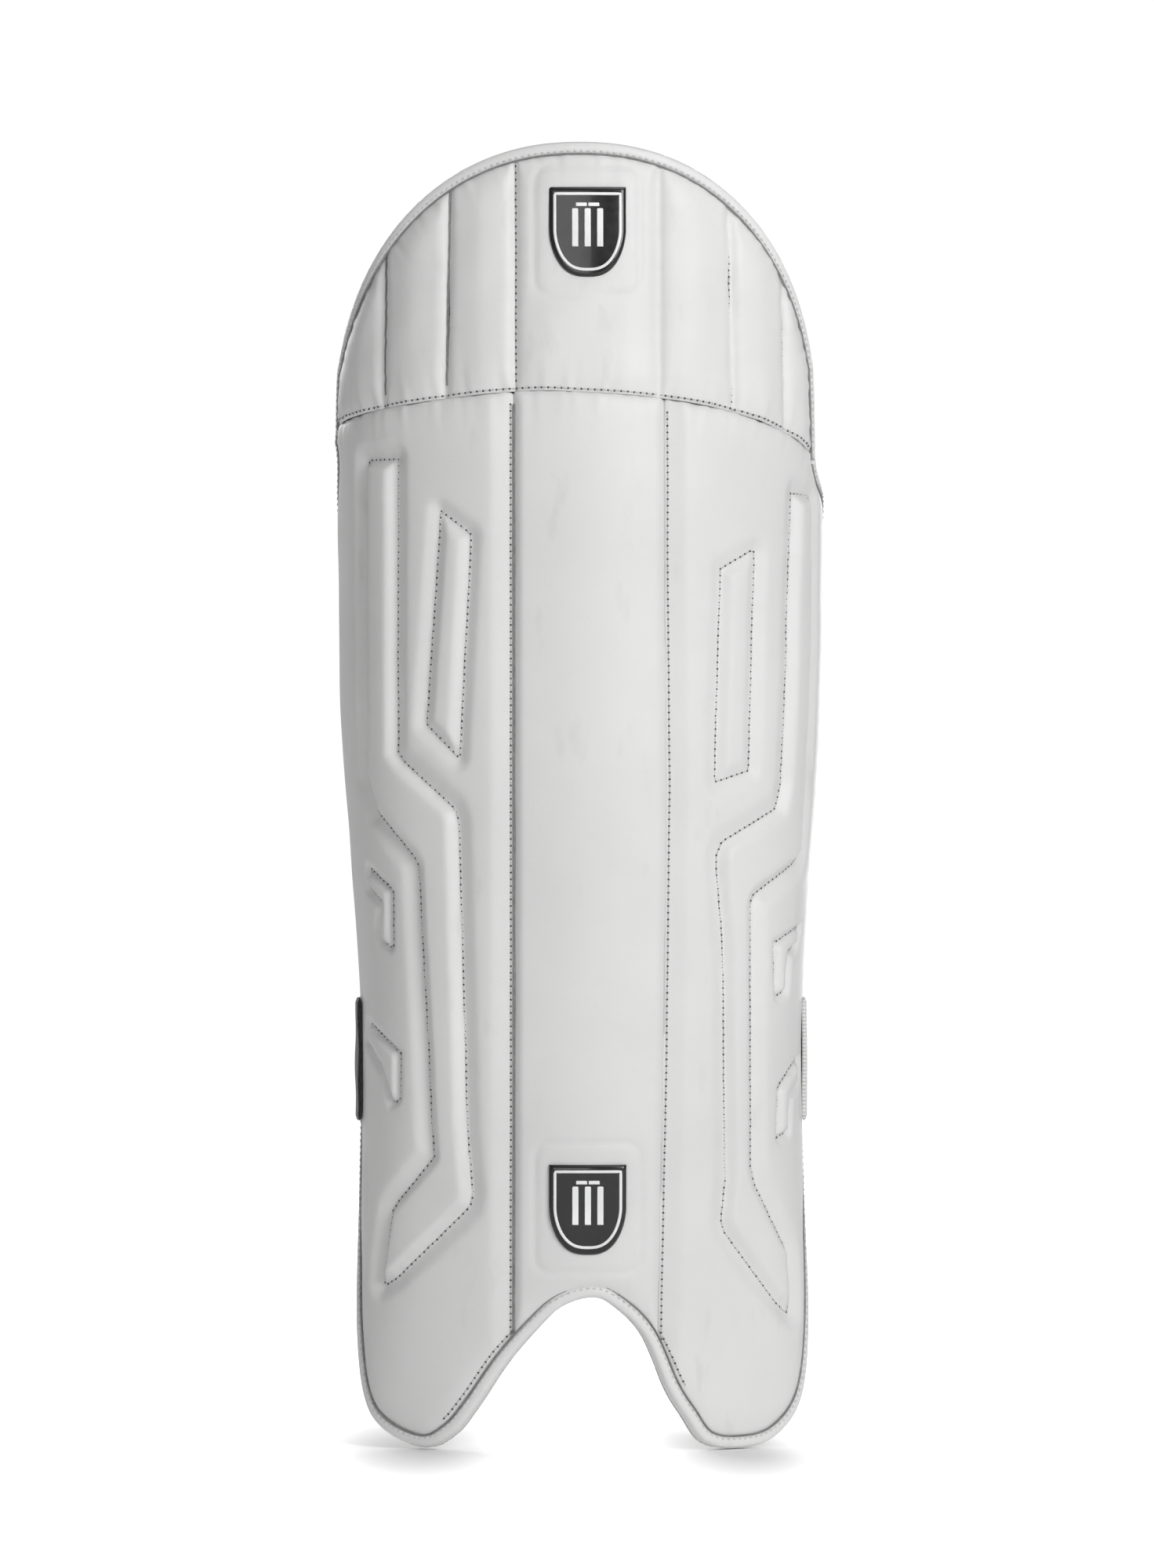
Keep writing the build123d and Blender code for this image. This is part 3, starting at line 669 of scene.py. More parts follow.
# Materials ------------------------------------------------------------
class Shader:
    """Small helper for building a node material."""

    def __init__(self, name, color, roughness):
        self.material = bpy.data.materials.new(name)
        self.material.use_nodes = True
        self.material.diffuse_color = (*color, 1)
        self.tree = self.material.node_tree
        self.main = self.tree.nodes["Principled BSDF"]
        self.set("Base Color", (*color, 1))
        self.set("Roughness", roughness)
        self.bumped = None

    def put(self, socket, value):
        """Gives an input a value, or links another node's output to it."""
        if isinstance(value, bpy.types.NodeSocket):
            self.tree.links.new(value, socket)
        else:
            socket.default_value = value

    def set(self, name, value):
        self.put(self.main.inputs[name], value)

    def node(self, kind, **values):
        """A new node; each value goes to the setting or else the input of that name."""
        made = self.tree.nodes.new(kind)
        for key, value in values.items():
            if hasattr(made, key):
                setattr(made, key, value)
            else:
                self.put(made.inputs[key.replace("_", " ")], value)
        return made

    def coordinates(self, kind="Object", scale=(1, 1, 1)):
        where = self.node("ShaderNodeTexCoord").outputs[kind]
        return self.node("ShaderNodeMapping", Scale=scale, Vector=where).outputs["Vector"]

    def noise(self, vector, scale, detail=3.0):
        return self.node("ShaderNodeTexNoise", Vector=vector, Scale=scale, Detail=detail).outputs["Fac"]

    def cells(self, vector, scale):
        return self.node("ShaderNodeTexVoronoi", Vector=vector, Scale=scale).outputs["Distance"]

    def ramp(self, value, stops):
        made = self.node("ShaderNodeValToRGB", Fac=value)
        while len(made.color_ramp.elements) < len(stops):
            made.color_ramp.elements.new(0.5)
        for element, (at, color) in zip(made.color_ramp.elements, stops):
            element.position = at
            element.color = (*color, 1)
        return made.outputs["Color"]

    def bump(self, height, strength, distance):
        made = self.node("ShaderNodeBump", Strength=strength, Distance=distance, Height=height)
        if self.bumped is not None:
            self.put(made.inputs["Normal"], self.bumped)
        self.bumped = made.outputs["Normal"]
        self.set("Normal", self.bumped)

    def color(self, output):
        self.set("Base Color", output)

    def roughness(self, output, low, high):
        made = self.node("ShaderNodeMapRange", Value=output, To_Min=low, To_Max=high)
        self.set("Roughness", made.outputs["Result"])

    def mix(self, factor, a, b):
        """Colour a turning into colour b; each argument is a value or another node's output."""
        made = self.node("ShaderNodeMix", data_type="RGBA")
        for index, value in ((0, factor), (6, a), (7, b)):
            self.put(made.inputs[index], (*value, 1) if isinstance(value, tuple) else value)
        return made.outputs[2]


def grey(value, tint=0.0):
    """Linear colour; a tint takes some blue away."""
    return (value, value, value - tint)


def coated_leather(name, tone, grain=950.0, roughness=0.42):
    """White polyurethane-coated leathercloth: fine pebble grain, soft sheen, faint scuffs."""
    shade = Shader(name, grey(tone, 0.006), roughness)
    where = shade.coordinates()
    cloud = shade.noise(where, 9.0, 4.0)
    tint = shade.ramp(cloud, ((0.3, grey(tone - 0.045, 0.004)), (0.7, grey(tone + 0.02, 0.006))))
    scuff = shade.noise(shade.coordinates(scale=(1, 1, 0.35)), 75.0, 6.0)
    worn = shade.ramp(scuff, ((0.62, (0, 0, 0)), (0.78, (1, 1, 1))))
    shade.color(shade.mix(worn, tint, grey(tone - 0.075, 0.012)))
    shade.roughness(shade.noise(where, 160.0, 3.0), roughness - 0.07, roughness + 0.12)
    shade.bump(shade.cells(where, grain), 0.22, 0.00012)
    shade.bump(shade.noise(where, 420.0, 4.0), 0.25, 0.00015)
    shade.bump(shade.noise(where, 60.0, 2.0), 0.12, 0.0006)
    shade.set("Sheen Weight", 0.06)
    shade.set("Specular IOR Level", 0.42)
    return shade.material


def woven(name, low, high, pitch, roughness=0.85, fuzz=0.3, depth=0.0003, kind="UV"):
    """Plain weave: two crossed sets of threads, one over the other, with fibre noise."""
    shade = Shader(name, high, roughness)
    where = shade.coordinates(kind)
    waves = []
    for direction in ("X", "Y" if kind == "UV" else "Z"):
        wave = shade.node("ShaderNodeTexWave", wave_type="BANDS", bands_direction=direction, Vector=where,
                          Scale=pitch, Distortion=0.6, Detail_Scale=3.0)
        waves.append(wave.outputs["Fac"])
    over = shade.node("ShaderNodeMath", operation="MAXIMUM")
    for wave, socket in zip(waves, over.inputs):
        shade.put(socket, wave)
    fibre = shade.noise(shade.coordinates(), 900.0, 5.0)
    tint = shade.ramp(over.outputs[0], ((0.15, low), (0.75, high)))
    shade.color(shade.mix(0.12, tint, shade.ramp(fibre, ((0.3, low), (0.7, high)))))
    shade.bump(over.outputs[0], 0.7, depth)
    shade.bump(fibre, 0.25, 0.0002)
    shade.roughness(shade.noise(where, 30.0), roughness - 0.08, roughness + 0.08)
    shade.set("Sheen Weight", fuzz)
    return shade.material


def loop_pile(name, low, high):
    """Black loop side of hook-and-loop tape: dense, matt and fuzzy."""
    shade = Shader(name, low, 0.9)
    where = shade.coordinates()
    curl = shade.cells(where, 1300.0)
    shade.color(shade.ramp(curl, ((0.1, high), (0.7, low))))
    shade.bump(curl, 0.8, 0.0004)
    shade.bump(shade.noise(where, 500.0, 5.0), 0.5, 0.0004)
    shade.roughness(shade.noise(where, 200.0), 0.82, 0.98)
    shade.set("Sheen Weight", 0.5)
    return shade.material


def thread(name, tone):
    """Twisted polyester sewing thread; also used, dark, for painted seam and needle-hole shadows."""
    shade = Shader(name, grey(tone), 0.6)
    where = shade.coordinates()
    twist = shade.node("ShaderNodeTexWave", wave_type="BANDS", bands_direction="DIAGONAL", Vector=where,
                       Scale=1500.0)
    shade.bump(twist.outputs["Fac"], 0.5, 0.00015)
    shade.color(shade.ramp(shade.noise(where, 300.0), ((0.3, grey(tone - 0.12)), (0.7, grey(tone)))))
    shade.roughness(shade.noise(where, 500.0), 0.5, 0.75)
    return shade.material


def gloss(name, tone, roughness=0.14):
    """Moulded glossy plastic with light handling marks."""
    shade = Shader(name, grey(tone), roughness)
    where = shade.coordinates()
    shade.color(shade.ramp(shade.noise(where, 40.0), ((0.3, grey(tone)), (0.8, grey(tone * 1.25 + 0.004)))))
    shade.roughness(shade.noise(where, 220.0, 6.0), roughness - 0.05, roughness + 0.14)
    shade.bump(shade.noise(where, 700.0, 3.0), 0.08, 0.00008)
    shade.set("Coat Weight", 0.35)
    return shade.material


def hidden_solid(name, low, high, scale, roughness):
    """Plate, cane or tape inside the pad: streaked colour and a fine surface."""
    shade = Shader(name, high, roughness)
    where = shade.coordinates(scale=(1, 1, 0.08))
    streak = shade.noise(where, scale, 6.0)
    shade.color(shade.ramp(streak, ((0.3, low), (0.7, high))))
    shade.roughness(streak, roughness - 0.1, roughness + 0.1)
    shade.bump(streak, 0.3, 0.0003)
    return shade.material


LEATHER = coated_leather("white_coated_leather", 0.82)
BINDING = coated_leather("binding_leather", 0.84, grain=1300.0, roughness=0.38)
THREAD_WHITE = thread("white_thread", 0.82)
THREAD_GREY = thread("stitch_thread", 0.74)
HOLE_DARK = thread("needle_hole_shadow", 0.16)
# The dark seam material below is painted shadow for the seams' grooves, not thread.
PAINTED_SEAM_SHADOW = thread("painted_seam_shadow", 0.34)
WEBBING = woven("white_webbing", grey(0.62, 0.01), grey(0.84, 0.01), 16.0, depth=0.0005)
LINING_CLOTH = woven("lining_mesh_cloth", grey(0.52, 0.01), grey(0.80, 0.01), 24.0, depth=0.0004)
PAD_CLOTH = woven("padding_cloth", grey(0.72, 0.012), grey(0.84, 0.012), 420.0, depth=0.00015,
                  kind="Object")
LOOP_BLACK = loop_pile("black_loop_pile", grey(0.008), grey(0.05))
EMBLEM_BLACK = gloss("emblem_black", 0.010)
EMBLEM_WHITE = gloss("emblem_white", 0.86, 0.3)
PLASTIC = hidden_solid("plate_plastic", grey(0.66, 0.02), grey(0.78, 0.02), 60.0, 0.5)
CANE = hidden_solid("split_cane", (0.46, 0.30, 0.14), (0.70, 0.53, 0.31), 420.0, 0.6)
TAPE_CLOTH = woven("seam_tape_cloth", grey(0.50, 0.01), grey(0.74, 0.01), 18.0)


def finish_piece(piece, material, slot, body=None, replaces=()):
    """Gives a piece its material and body; a piece with no body has its placing baked into its mesh."""
    piece.data.materials.clear()
    piece.data.materials.append(material)
    if replaces:
        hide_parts(*replaces)
    if body:
        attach(piece, body)
    else:
        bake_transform(piece)
    return piece


# Shin panels ----------------------------------------------------------
def side_of_line(points, line):
    """True for points to the right of a line that runs down the pad."""
    z = line[::-1, 1]
    return points[:, 0] > np.interp(points[:, 1], z, line[::-1, 0])


def clip_outline(outline, line, keep_right):
    """Part of a closed outline to one side of a line that crosses it from top to bottom."""
    side = side_of_line(outline, line)
    keep = side if keep_right else ~side
    rolled = np.roll(np.arange(len(outline)), -int(np.argmax(keep & ~np.roll(keep, 1))))
    kept = [outline[i] for i in rolled if keep[i]]
    first, last = kept[0], kept[-1]
    top, bottom = (first, last) if first[1] > last[1] else (last, first)
    cut = line[(line[:, 1] < top[1]) & (line[:, 1] > bottom[1])]
    run = cut if last[1] > first[1] else cut[::-1]
    return np.vstack([np.array(kept), run])


LEFT_PANEL = clip_outline(SHIN_OUTLINE, CENTRES[0], False)
RIGHT_PANEL = clip_outline(SHIN_OUTLINE, CENTRES[1], True)
CENTRE_PANEL = clip_outline(clip_outline(SHIN_OUTLINE, CENTRES[0], True), CENTRES[1], False)


def cover(name, outline, depth_of, replaces):
    panel = sheet(name, outline, STEP, depth_of, COVER_THICK)
    finish_piece(panel, LEATHER, "white_cover", replaces=replaces)


cover("shin_centre_panel", CENTRE_PANEL, centre_depth, ("shin_centre_cover", "shin_bolster_foam"))
for side, outline in (("left", LEFT_PANEL), ("right", RIGHT_PANEL)):
    wing_parts = ("wing_cover", "wing_foam", "ridge_insert", "lozenge_insert", "vent_inserts")
    cover(f"wing_panel_{side}", outline, wing_depth, [f"{part}_{side}" for part in wing_parts])

# Knee cover -----------------------------------------------------------
CHANNELS = ("left_outer", "left_middle", "left_inner", "centre", "right_inner", "right_middle", "right_outer")
knee_parts = ["knee_cover"] + [f"knee_foam_{channel}" for channel in CHANNELS]
cover("knee_quilt", KNEE_OUTLINE, knee_depth, knee_parts)

# Bindings -------------------------------------------------------------
BIND_SECTION = oval(3.3, 5.9, 3.3, 4.9, 20, 3.0)
EDGES = (("shin", SHIN_EDGE, 1, "shin_edge_binding"), ("dome", DOME_EDGE, -1, "knee_binding"))
for name, edge, inward, node in EDGES:
    binding = ribbon(f"{name}_binding", edge, BIND_SECTION, inward)
    finish_piece(binding, BINDING, "edge_binding", replaces=(node,))


# Lining ---------------------------------------------------------------
def lining_depth(edge_line):
    """Depth function of the lining: it rises to the bound edge, dips at the seams and clears the canes."""
    def depth(points):
        edge, _ = nearest(points, edge_line)
        seam, _ = nearest(points, SEAM)
        drop = (LINING_DEPTH - LINING_EDGE) * (1 - smoothstep((edge - 3) / 16))
        groove = join(bevel(seam, 9, 2.5), bevel(panel_distance(points), 8, 1.8))
        canes = CANE_SWELL * np.exp(-((points[:, 1] - CANE_TOP) / 26) ** 2) * smoothstep((seam - 14) / 10)
        return LINING_DEPTH - drop + canes - groove * (1 - drop / LINING_DEPTH) + uneven(points, 0.25, 38, 11)
    return depth


for name, outline, edge in (("shin", SHIN_OUTLINE, SHIN_EDGE), ("knee", KNEE_OUTLINE, DOME_EDGE)):
    lining = sheet(f"{name}_lining_cloth", outline, LINING_STEP, lining_depth(edge), LINING_THICK)
    finish_piece(lining, LINING_CLOTH, "lining_mesh", replaces=(f"{name}_lining",))
TAPE_LINE = SEAM[TAPE_INSET:-TAPE_INSET]
TAPE_SECTION = oval(0.0, 19.0, 13.0, 1.0, 24, 4.0)
finish_piece(ribbon("seam_tape", TAPE_LINE, TAPE_SECTION, 1), TAPE_CLOTH, "seam_tape",
             replaces=("knee_seam_tape",))


# Stitching ------------------------------------------------------------
def within(line, outline, margin):
    """Runs of a line that lie inside an outline and at least a margin from it."""
    fine = even(line, 1.0)
    distance, _ = nearest(fine, outline, closed=True)
    keep = inside(fine, outline) & (distance > margin)
    cuts = np.flatnonzero(np.diff(keep)) + 1
    return [run for run, kept in zip(np.split(fine, cuts), np.split(keep, cuts)) if kept[0] and len(run) > 8]


def shifted(line, distance, inward):
    return line + inward * distance * turned(directions(line))


shin_runs = [closed_line(line) for line in RIDGES + LOZENGES + VENT_LINES]
knee_runs = within(SEAM + np.array([0, 1.5]), KNEE_OUTLINE, 1)
for line in KNEE_LINES:
    knee_runs += within(line, KNEE_OUTLINE, 5)
notch = shifted(SHIN_EDGE, NOTCH_SEAM, 1)
notch = notch[notch[:, 1] < 90]
across = place(notch[:, 0], notch[:, 1])[:, 0]
seam_runs = [notch[(across > low_x) & (across < high_x)] for low_x, high_x in NOTCH_SEAM_RUNS]
for line, offset in zip(CENTRES, (-1.7, 1.7)):
    seam_runs += within(line + np.array([offset, 0]), SHIN_OUTLINE, 6)
for name, lines, depth_of in (("wing", shin_runs, wing_depth), ("panel_seam", seam_runs, wing_depth),
                              ("knee", knee_runs, knee_depth)):
    finish_piece(stitches(f"{name}_stitches", lines, depth_of), THREAD_GREY, "edge_binding")
    finish_piece(needle_holes(f"{name}_needle_holes", lines, depth_of), HOLE_DARK, "edge_binding")


def flat_depth(depth):
    return lambda points: np.full(len(points), depth)


# Along each binding's seam runs a thin dark ribbon: a painted shadow line in the seam's groove.
SEAM_SECTION = oval(0.0, 1.9, 0.38, 0.9, 8, 2.0)
for name, edge, inward, _ in EDGES:
    run = stitches(f"{name}_binding_stitches", [shifted(edge, BIND_STITCHES, inward)],
                   flat_depth(BIND_STITCH_DEPTH))
    finish_piece(run, THREAD_WHITE, "edge_binding")
    line = ribbon(f"{name}_binding_seam_shadow", shifted(edge, BIND_SEAM, inward), SEAM_SECTION, inward)
    finish_piece(line, PAINTED_SEAM_SHADOW, "edge_binding")

# Painted shade lines on the left, the side away from the key light: two channels of the knee and the centre
# panel's edge.
CREASE_SECTION = oval(0.0, -0.7, 0.5, 0.9, 8, 2.0)
CREASES = (("knee_channel_far", KNEE_LINES[0], KNEE_OUTLINE, knee_depth),
           ("knee_channel_near", KNEE_LINES[1], KNEE_OUTLINE, knee_depth),
           ("panel", CENTRES[0] + np.array([0.3, 0]), SHIN_OUTLINE, wing_depth))
for name, line, outline, depth_of in CREASES:
    crease = ribbon(f"{name}_crease_shadow", within(line, outline, 6)[0], CREASE_SECTION, 1, depth_of=depth_of)
    finish_piece(crease, PAINTED_SEAM_SHADOW, "edge_binding")


# Emblems --------------------------------------------------------------
SHIELD_HALF, SHIELD_TOP, SHIELD_TIP = 19.5, 22.0, 24.0
STUMPS = [(x, -8.5, 11.0, 1.5) for x in (-6.2, 0.0, 6.2)]   # middle, bottom, top, half width
BAILS = [(x, 12.1, 13.9, 2.7) for x in (-3.1, 3.1)]


def shield_outline(scale=1.0):
    """Plain heater shield about its own centre."""
    right = [(SHIELD_HALF, SHIELD_TOP)]
    for turn in np.linspace(0, 1, 18) * math.pi / 2:
        right.append((SHIELD_HALF * math.cos(turn) ** 0.75, -SHIELD_TIP * math.sin(turn) ** 1.15))
    left = [(-x, z) for x, z in right[::-1][1:]]
    return np.array(right + left) * scale


def emblem(label, z, depth_of, body, node):
    """Glossy black shield with a white rim, three stumps and two bails, on the cover at height z."""
    shift = np.array([0.0, z])
    base = float(depth_of(np.array([[0.0, z]]))[0])
    outline = even(shield_outline(), 1.0, closed=True) + shift

    def plate_depth(points):
        distance, _ = nearest(points, outline, closed=True)
        return base - 1.9 + bevel(distance, 2.0, 1.5)

    plate = sheet(f"{label}_shield", outline, 0.9, plate_depth, 2.6)
    finish_piece(plate, EMBLEM_BLACK, "emblem_gloss", body, (node,))
    rim = even(shield_outline(0.84), 1.2, closed=True) + shift
    white = [ribbon(f"{label}_rim", rim, oval(0.0, base - 1.9, 0.75, 0.45, 10), 1, closed=True)]
    for kind, bars in (("stump", STUMPS), ("bail", BAILS)):
        for k, (x, low, high, half) in enumerate(bars):
            corners = ((x - half, low), (x + half, low), (x + half, high), (x - half, high))
            shape = even(corners, 0.6, closed=True) + shift
            white.append(sheet(f"{label}_{kind}_{k + 1}", shape, 0.5, flat_depth(base - 2.5), 0.9))
    for piece in white:
        finish_piece(piece, EMBLEM_WHITE, "emblem_gloss", body)


emblem("shin_mark", EMBLEM_LOW, centre_depth, "shin", "shin_emblem")
emblem("knee_mark", EMBLEM_HIGH, knee_depth, "knee", "knee_emblem")


# Straps ---------------------------------------------------------------
STRAP_STEP = 2.5           # spacing of points along a strap
WEB_THICK = 2.0
WEB_OUT = 3.5              # the web runs this far outside the strap's own arc, over the loop piece
PATCH_START = 80           # angle from the front at which a sewn end begins


def strap_strip(name, path, z_low, z_high, thick, seed):
    """Flat webbing standing on edge along a path in plan; slightly wavy, with rounded selvedges."""
    p = np.asarray(path, float)
    out = -turned(directions(p))
    z = np.linspace(z_low, z_high, int((z_high - z_low) / 2.2) + 1)
    length = run_length(p)
    grid_l, grid_z = np.meshgrid(length, z, indexing="ij")
    edge = np.minimum(grid_z - z_low, z_high - grid_z)
    half = thick / 2 * np.sqrt(np.clip(edge / 1.6, 0.04, 1))
    middle = 0.35 * ripple(grid_l, grid_z, 45, seed)
    points = []
    for sign in (1, -1):
        shift = middle + sign * half
        xy = p[:, None, :] + out[:, None, :] * shift[..., None]
        points.append(np.concatenate([xy, grid_z[..., None]], axis=-1).reshape(-1, 3))
    index = np.arange(grid_z.size).reshape(grid_z.shape)
    quads = np.stack([index[:-1, :-1], index[1:, :-1], index[1:, 1:], index[:-1, 1:]], axis=-1).reshape(-1, 4)
    uv = np.stack([grid_l.ravel(), grid_z.ravel()], axis=-1)
    return solid(name, np.concatenate(points), two_skins(quads, grid_z.size), np.concatenate([uv, uv]))


EAR_END, TAB_END = -25.0, -85.0
WHITE_WEB = (WEBBING, "white_webbing")
BLACK_LOOP = (LOOP_BLACK, "black_loop_fabric")


def make_strap(label, grip, root_x, root_back, back, patch_depth, turn_left, turn_right):
    """The four pieces of one strap: an arc behind the leg through its hinge lines, and its two sewn ends.
    grip is the material and slot of its loop piece and tab; the turns are where the sewn ends stop."""
    low, high = (corner.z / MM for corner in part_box(f"{label}_strap_band"))
    level = (low + high) / 2
    sag = back - root_back
    base_radius = (root_x ** 2 + sag ** 2) / (2 * sag)
    centre = front_line(level) + back - base_radius

    def arc(x_from, x_to, out):
        """The strap's run between two x places, moved outwards."""
        radius = base_radius + out
        turn = np.linspace(math.acos(x_from / radius), math.acos(x_to / radius), 60)
        return np.stack([radius * np.cos(turn), centre + radius * np.sin(turn)], axis=-1)

    def patch(side, end):
        """The sewn end on one side, in plan."""
        turn = np.radians(np.linspace(PATCH_START, end, 20))
        return place(side * s_at_turn(turn, level), level, patch_depth)[:, :2]

    web = arc(root_x, EAR_END, WEB_OUT)
    ear = np.vstack([patch(-1, turn_left), arc(1 - root_x, EAR_END, 1.0)])
    anchor = np.vstack([patch(1, turn_right)[::3], [web[0] + np.array([0.4, -3.0])], web[:1]])
    tab = arc(EAR_END, TAB_END, WEB_OUT)
    for name, node, path, inset, thick, seed, look, body in (
            ("loop_piece", "ear", smooth_line(ear[::3], STRAP_STEP), 0, WEB_THICK, 60, grip, "shin"),
            ("anchor_piece", "anchor", smooth_line(anchor, 1.5), 0, WEB_THICK, 61, WHITE_WEB, "shin"),
            ("web", "band", web, 0, WEB_THICK, 62, WHITE_WEB, f"{label}_strap"),
            ("grip_tab", "tab", tab, 1, 2.2, 63, grip, f"{label}_tab")):
        line = even(path, STRAP_STEP)
        strip = strap_strip(f"{label}_strap_{name}", line, low + inset, high - inset, thick, seed)
        finish_piece(strip, *look, body, (f"{label}_strap_{node}",))


make_strap("calf", BLACK_LOOP, 113.0, 109.5, 150.0, -1.6, 103, 101)
make_strap("knee", WHITE_WEB, 100.7, 113.7, 151.0, LINING_DEPTH + 2.4, 103, 105)


# Cushions -------------------------------------------------------------
def point_depth(points):
    """Depth of free points below the outer surface, in millimetres."""
    front, side, side_x, front_c, side_y = arcs(points[:, 2])
    x, y = np.abs(points[:, 0]), points[:, 1]
    near = front - np.hypot(x, y - front_c)
    far = side - np.hypot(x - side_x, y - side_y)
    return np.where(np.arctan2(x, front_c - y) < SHOULDER, near, far)


PRESSURE = 4.0
FRAMES = 20


def baked(piece):
    """The piece's mesh with its modifiers applied, and no modifiers left."""
    piece.data = bpy.data.meshes.new_from_object(piece.evaluated_get(bpy.context.evaluated_depsgraph_get()))
    piece.modifiers.clear()


def padded(name, node, voxel, cap, shrink):
    """Soft pad from a CAD solid: remeshed, swollen as cloth by at most cap, held off the lining behind it."""
    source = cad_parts[node]
    piece = bpy.data.objects.new(name, source.data.copy())
    bpy.context.scene.collection.objects.link(piece)
    remesh = piece.modifiers.new("remesh", "REMESH")
    remesh.mode = "VOXEL"
    remesh.voxel_size = voxel * MM
    baked(piece)
    mesh = bmesh.new()
    mesh.from_mesh(piece.data)
    for _ in range(3):
        bmesh.ops.smooth_vert(mesh, verts=mesh.verts, factor=0.5, use_axis_x=True, use_axis_y=True,
                              use_axis_z=True)
    mesh.normal_update()
    for vert in mesh.verts:
        vert.co -= vert.normal * shrink * MM
    mesh.to_mesh(piece.data)
    mesh.free()
    start = coordinates_of(piece.data)
    cloth = piece.modifiers.new("cloth", "CLOTH")
    cloth.settings.use_pressure = True
    cloth.settings.uniform_pressure_force = PRESSURE
    cloth.settings.effector_weights.gravity = 0
    cloth.point_cache.frame_start = 1
    cloth.point_cache.frame_end = FRAMES
    for step in range(1, FRAMES + 1):
        bpy.context.scene.frame_set(step)
    baked(piece)
    bpy.context.scene.frame_set(1)
    moved = coordinates_of(piece.data) - start
    size = np.linalg.norm(moved, axis=1)[:, None]
    start = start + moved * np.minimum(1, cap / np.maximum(size, 1e-9))
    start[:, 1] += np.maximum(LINING_DEPTH + LINING_GAP - point_depth(start), 0)
    piece.data.vertices.foreach_set("co", (start * MM).ravel())
    piece.data.update()
    soften = piece.modifiers.new("subdivision", "SUBSURF")
    soften.levels = soften.render_levels = 1
    piece.data.polygons.foreach_set("use_smooth", [True] * len(piece.data.polygons))
    return piece


def coordinates_of(mesh):
    flat = np.empty(len(mesh.vertices) * 3)
    mesh.vertices.foreach_get("co", flat)
    return flat.reshape(-1, 3) / MM


# Name, CAD node, voxel size, most swelling, shrinking before it, body.
PADS = (("inner_bolster_pad_left", "inner_bolster_left", 4.5, 6.0, 2.5, "shin"),
        ("inner_bolster_pad_right", "inner_bolster_right", 4.5, 6.0, 2.5, "shin"),
        ("instep_cushion", "instep_pad", 4.0, 4.0, 1.5, "shin"),
        ("knee_cushion_pad", "knee_cushion", 4.5, 6.0, 2.5, "knee"))
for name, node, voxel, cap, shrink, body in PADS:
    finish_piece(padded(name, node, voxel, cap, shrink), PAD_CLOTH, "inner_padding", body, (node,))

# Carried-over CAD pieces inside the pad -------------------------------
for node, material in (("shin_plate", PLASTIC), ("knee_plate", PLASTIC), ("wing_canes_left", CANE),
                       ("wing_canes_right", CANE)):
    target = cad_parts[node]
    target.data.materials.clear()
    target.data.materials.append(material)

# Stage, light and camera ----------------------------------------------
# Metres and watts.
BACKDROP_STRENGTH = 1.05
FILL_STRENGTH = 0.20
FLOOR_SIZE = 12
FLOOR_GLOW = (0.0, 0.85)   # camera-only glow at the lobes, where it leaves a painted contact shadow, and further away
SHADOW_REACH = (0.005, 0.075)
LOBES = ((-0.085, -0.05), (0.079, -0.05))
LOBE_STRETCH = 0.2         # distances in depth count this much, which draws the painted shadow out
# Name, place, target height, size, power.
LIGHTS = (("key", (1.3, -2.3, 1.35), 0.35, (1.1, 1.4), 35),
          ("front", (-0.4, -3.4, 0.9), 0.35, (1.2, 1.6), 11),
          ("top", (0.5, -0.5, 2.6), 0.4, (1.2, 1.2), 8),
          ("back", (-1.3, 2.5, 1.5), 0.35, (1.4, 1.4), 30),
          ("rear", (0.9, 2.9, 0.8), 0.35, (1.4, 1.4), 28))
CAMERA_DISTANCE = 4.75
CAMERA_YAW = math.radians(2.1)
CAMERA_TARGET = Vector((-0.0038, -0.03, 0.3406))
VIEW_HEIGHT = 0.805
SENSOR = 36

bpy.ops.mesh.primitive_plane_add(size=FLOOR_SIZE, location=(0, 0, 0))
floor = bpy.context.object
floor.name = "floor"
ground = Shader("pale_floor_painted_shadow", grey(0.93), 0.7)
ground.color(ground.ramp(ground.noise(ground.coordinates(), 3.0), ((0.3, grey(0.93)), (0.7, grey(0.95)))))
# The floor glows for the camera, less near the lobes: the dim patches there are painted contact shadows.
nearest_lobe = ground.node("ShaderNodeMath", operation="MINIMUM")
for socket, (lobe_x, lobe_y) in zip(nearest_lobe.inputs, LOBES):
    span = ground.node("ShaderNodeVectorMath", operation="DISTANCE")
    ground.put(span.inputs[0], ground.coordinates(scale=(1, LOBE_STRETCH, 1)))
    ground.put(span.inputs[1], (lobe_x, lobe_y * LOBE_STRETCH, 0))
    ground.put(socket, span.outputs["Value"])
painted_shadow_glow = ground.node("ShaderNodeMapRange", interpolation_type="SMOOTHSTEP", From_Min=SHADOW_REACH[0],
                         From_Max=SHADOW_REACH[1], To_Min=FLOOR_GLOW[0], To_Max=FLOOR_GLOW[1],
                         Value=nearest_lobe.outputs[0])
glow = ground.node("ShaderNodeMath", operation="MULTIPLY")
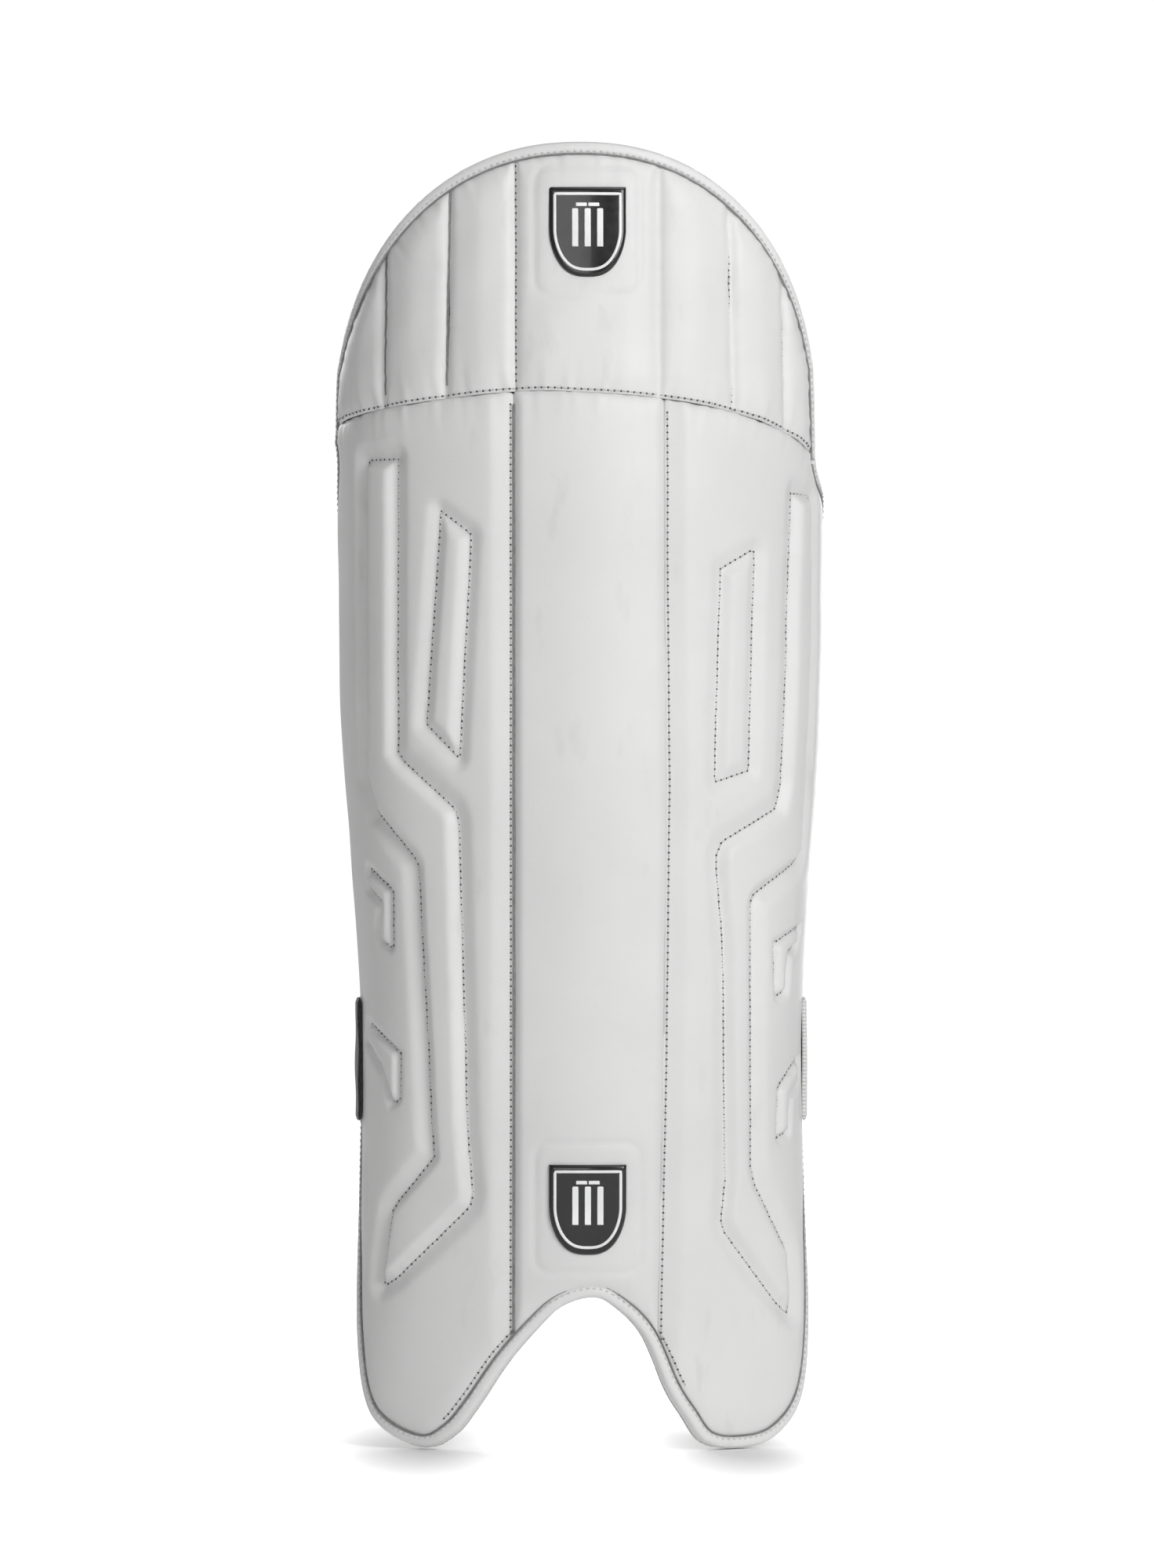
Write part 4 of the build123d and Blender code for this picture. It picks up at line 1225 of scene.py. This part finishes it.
ground.put(glow.inputs[0], ground.node("ShaderNodeLightPath").outputs["Is Camera Ray"])
ground.put(glow.inputs[1], painted_shadow_glow.outputs["Result"])
ground.set("Emission Color", (1, 1, 1, 1))
ground.set("Emission Strength", glow.outputs[0])
floor.data.materials.append(ground.material)

world = bpy.data.worlds.new("studio")
bpy.context.scene.world = world
world.use_nodes = True
sky = world.node_tree
backdrop = sky.nodes["Background"]
soft_fill = sky.nodes.new("ShaderNodeBackground")
for shade, strength in ((backdrop, BACKDROP_STRENGTH), (soft_fill, FILL_STRENGTH)):
    shade.inputs["Color"].default_value = (1, 1, 1, 1)
    shade.inputs["Strength"].default_value = strength
seen = sky.nodes.new("ShaderNodeLightPath")
either = sky.nodes.new("ShaderNodeMixShader")
sky.links.new(seen.outputs["Is Camera Ray"], either.inputs["Fac"])
sky.links.new(soft_fill.outputs["Background"], either.inputs[1])
sky.links.new(backdrop.outputs["Background"], either.inputs[2])
sky.links.new(either.outputs["Shader"], sky.nodes["World Output"].inputs["Surface"])


def aim(thing, place_at, target):
    """Puts a lamp or the camera somewhere and turns it towards a point."""
    bpy.context.scene.collection.objects.link(thing)
    thing.location = place_at
    thing.rotation_euler = (Vector(target) - Vector(place_at)).to_track_quat("-Z", "Y").to_euler()


for name, place_at, target_height, size, power in LIGHTS:
    data = bpy.data.lights.new(name, "AREA")
    data.shape = "RECTANGLE"
    data.size, data.size_y = size
    data.energy = power
    aim(bpy.data.objects.new(name, data), place_at, (0, 0, target_height))

camera_data = bpy.data.cameras.new("camera")
camera_data.sensor_fit = "VERTICAL"
camera_data.sensor_height = SENSOR
camera_data.lens = SENSOR * CAMERA_DISTANCE / VIEW_HEIGHT
camera = bpy.data.objects.new("camera", camera_data)
towards = Vector((-math.sin(CAMERA_YAW), -math.cos(CAMERA_YAW), 0))
aim(camera, CAMERA_TARGET + CAMERA_DISTANCE * towards, CAMERA_TARGET)
bpy.context.scene.camera = camera
bpy.context.scene.view_settings.view_transform = "Standard"
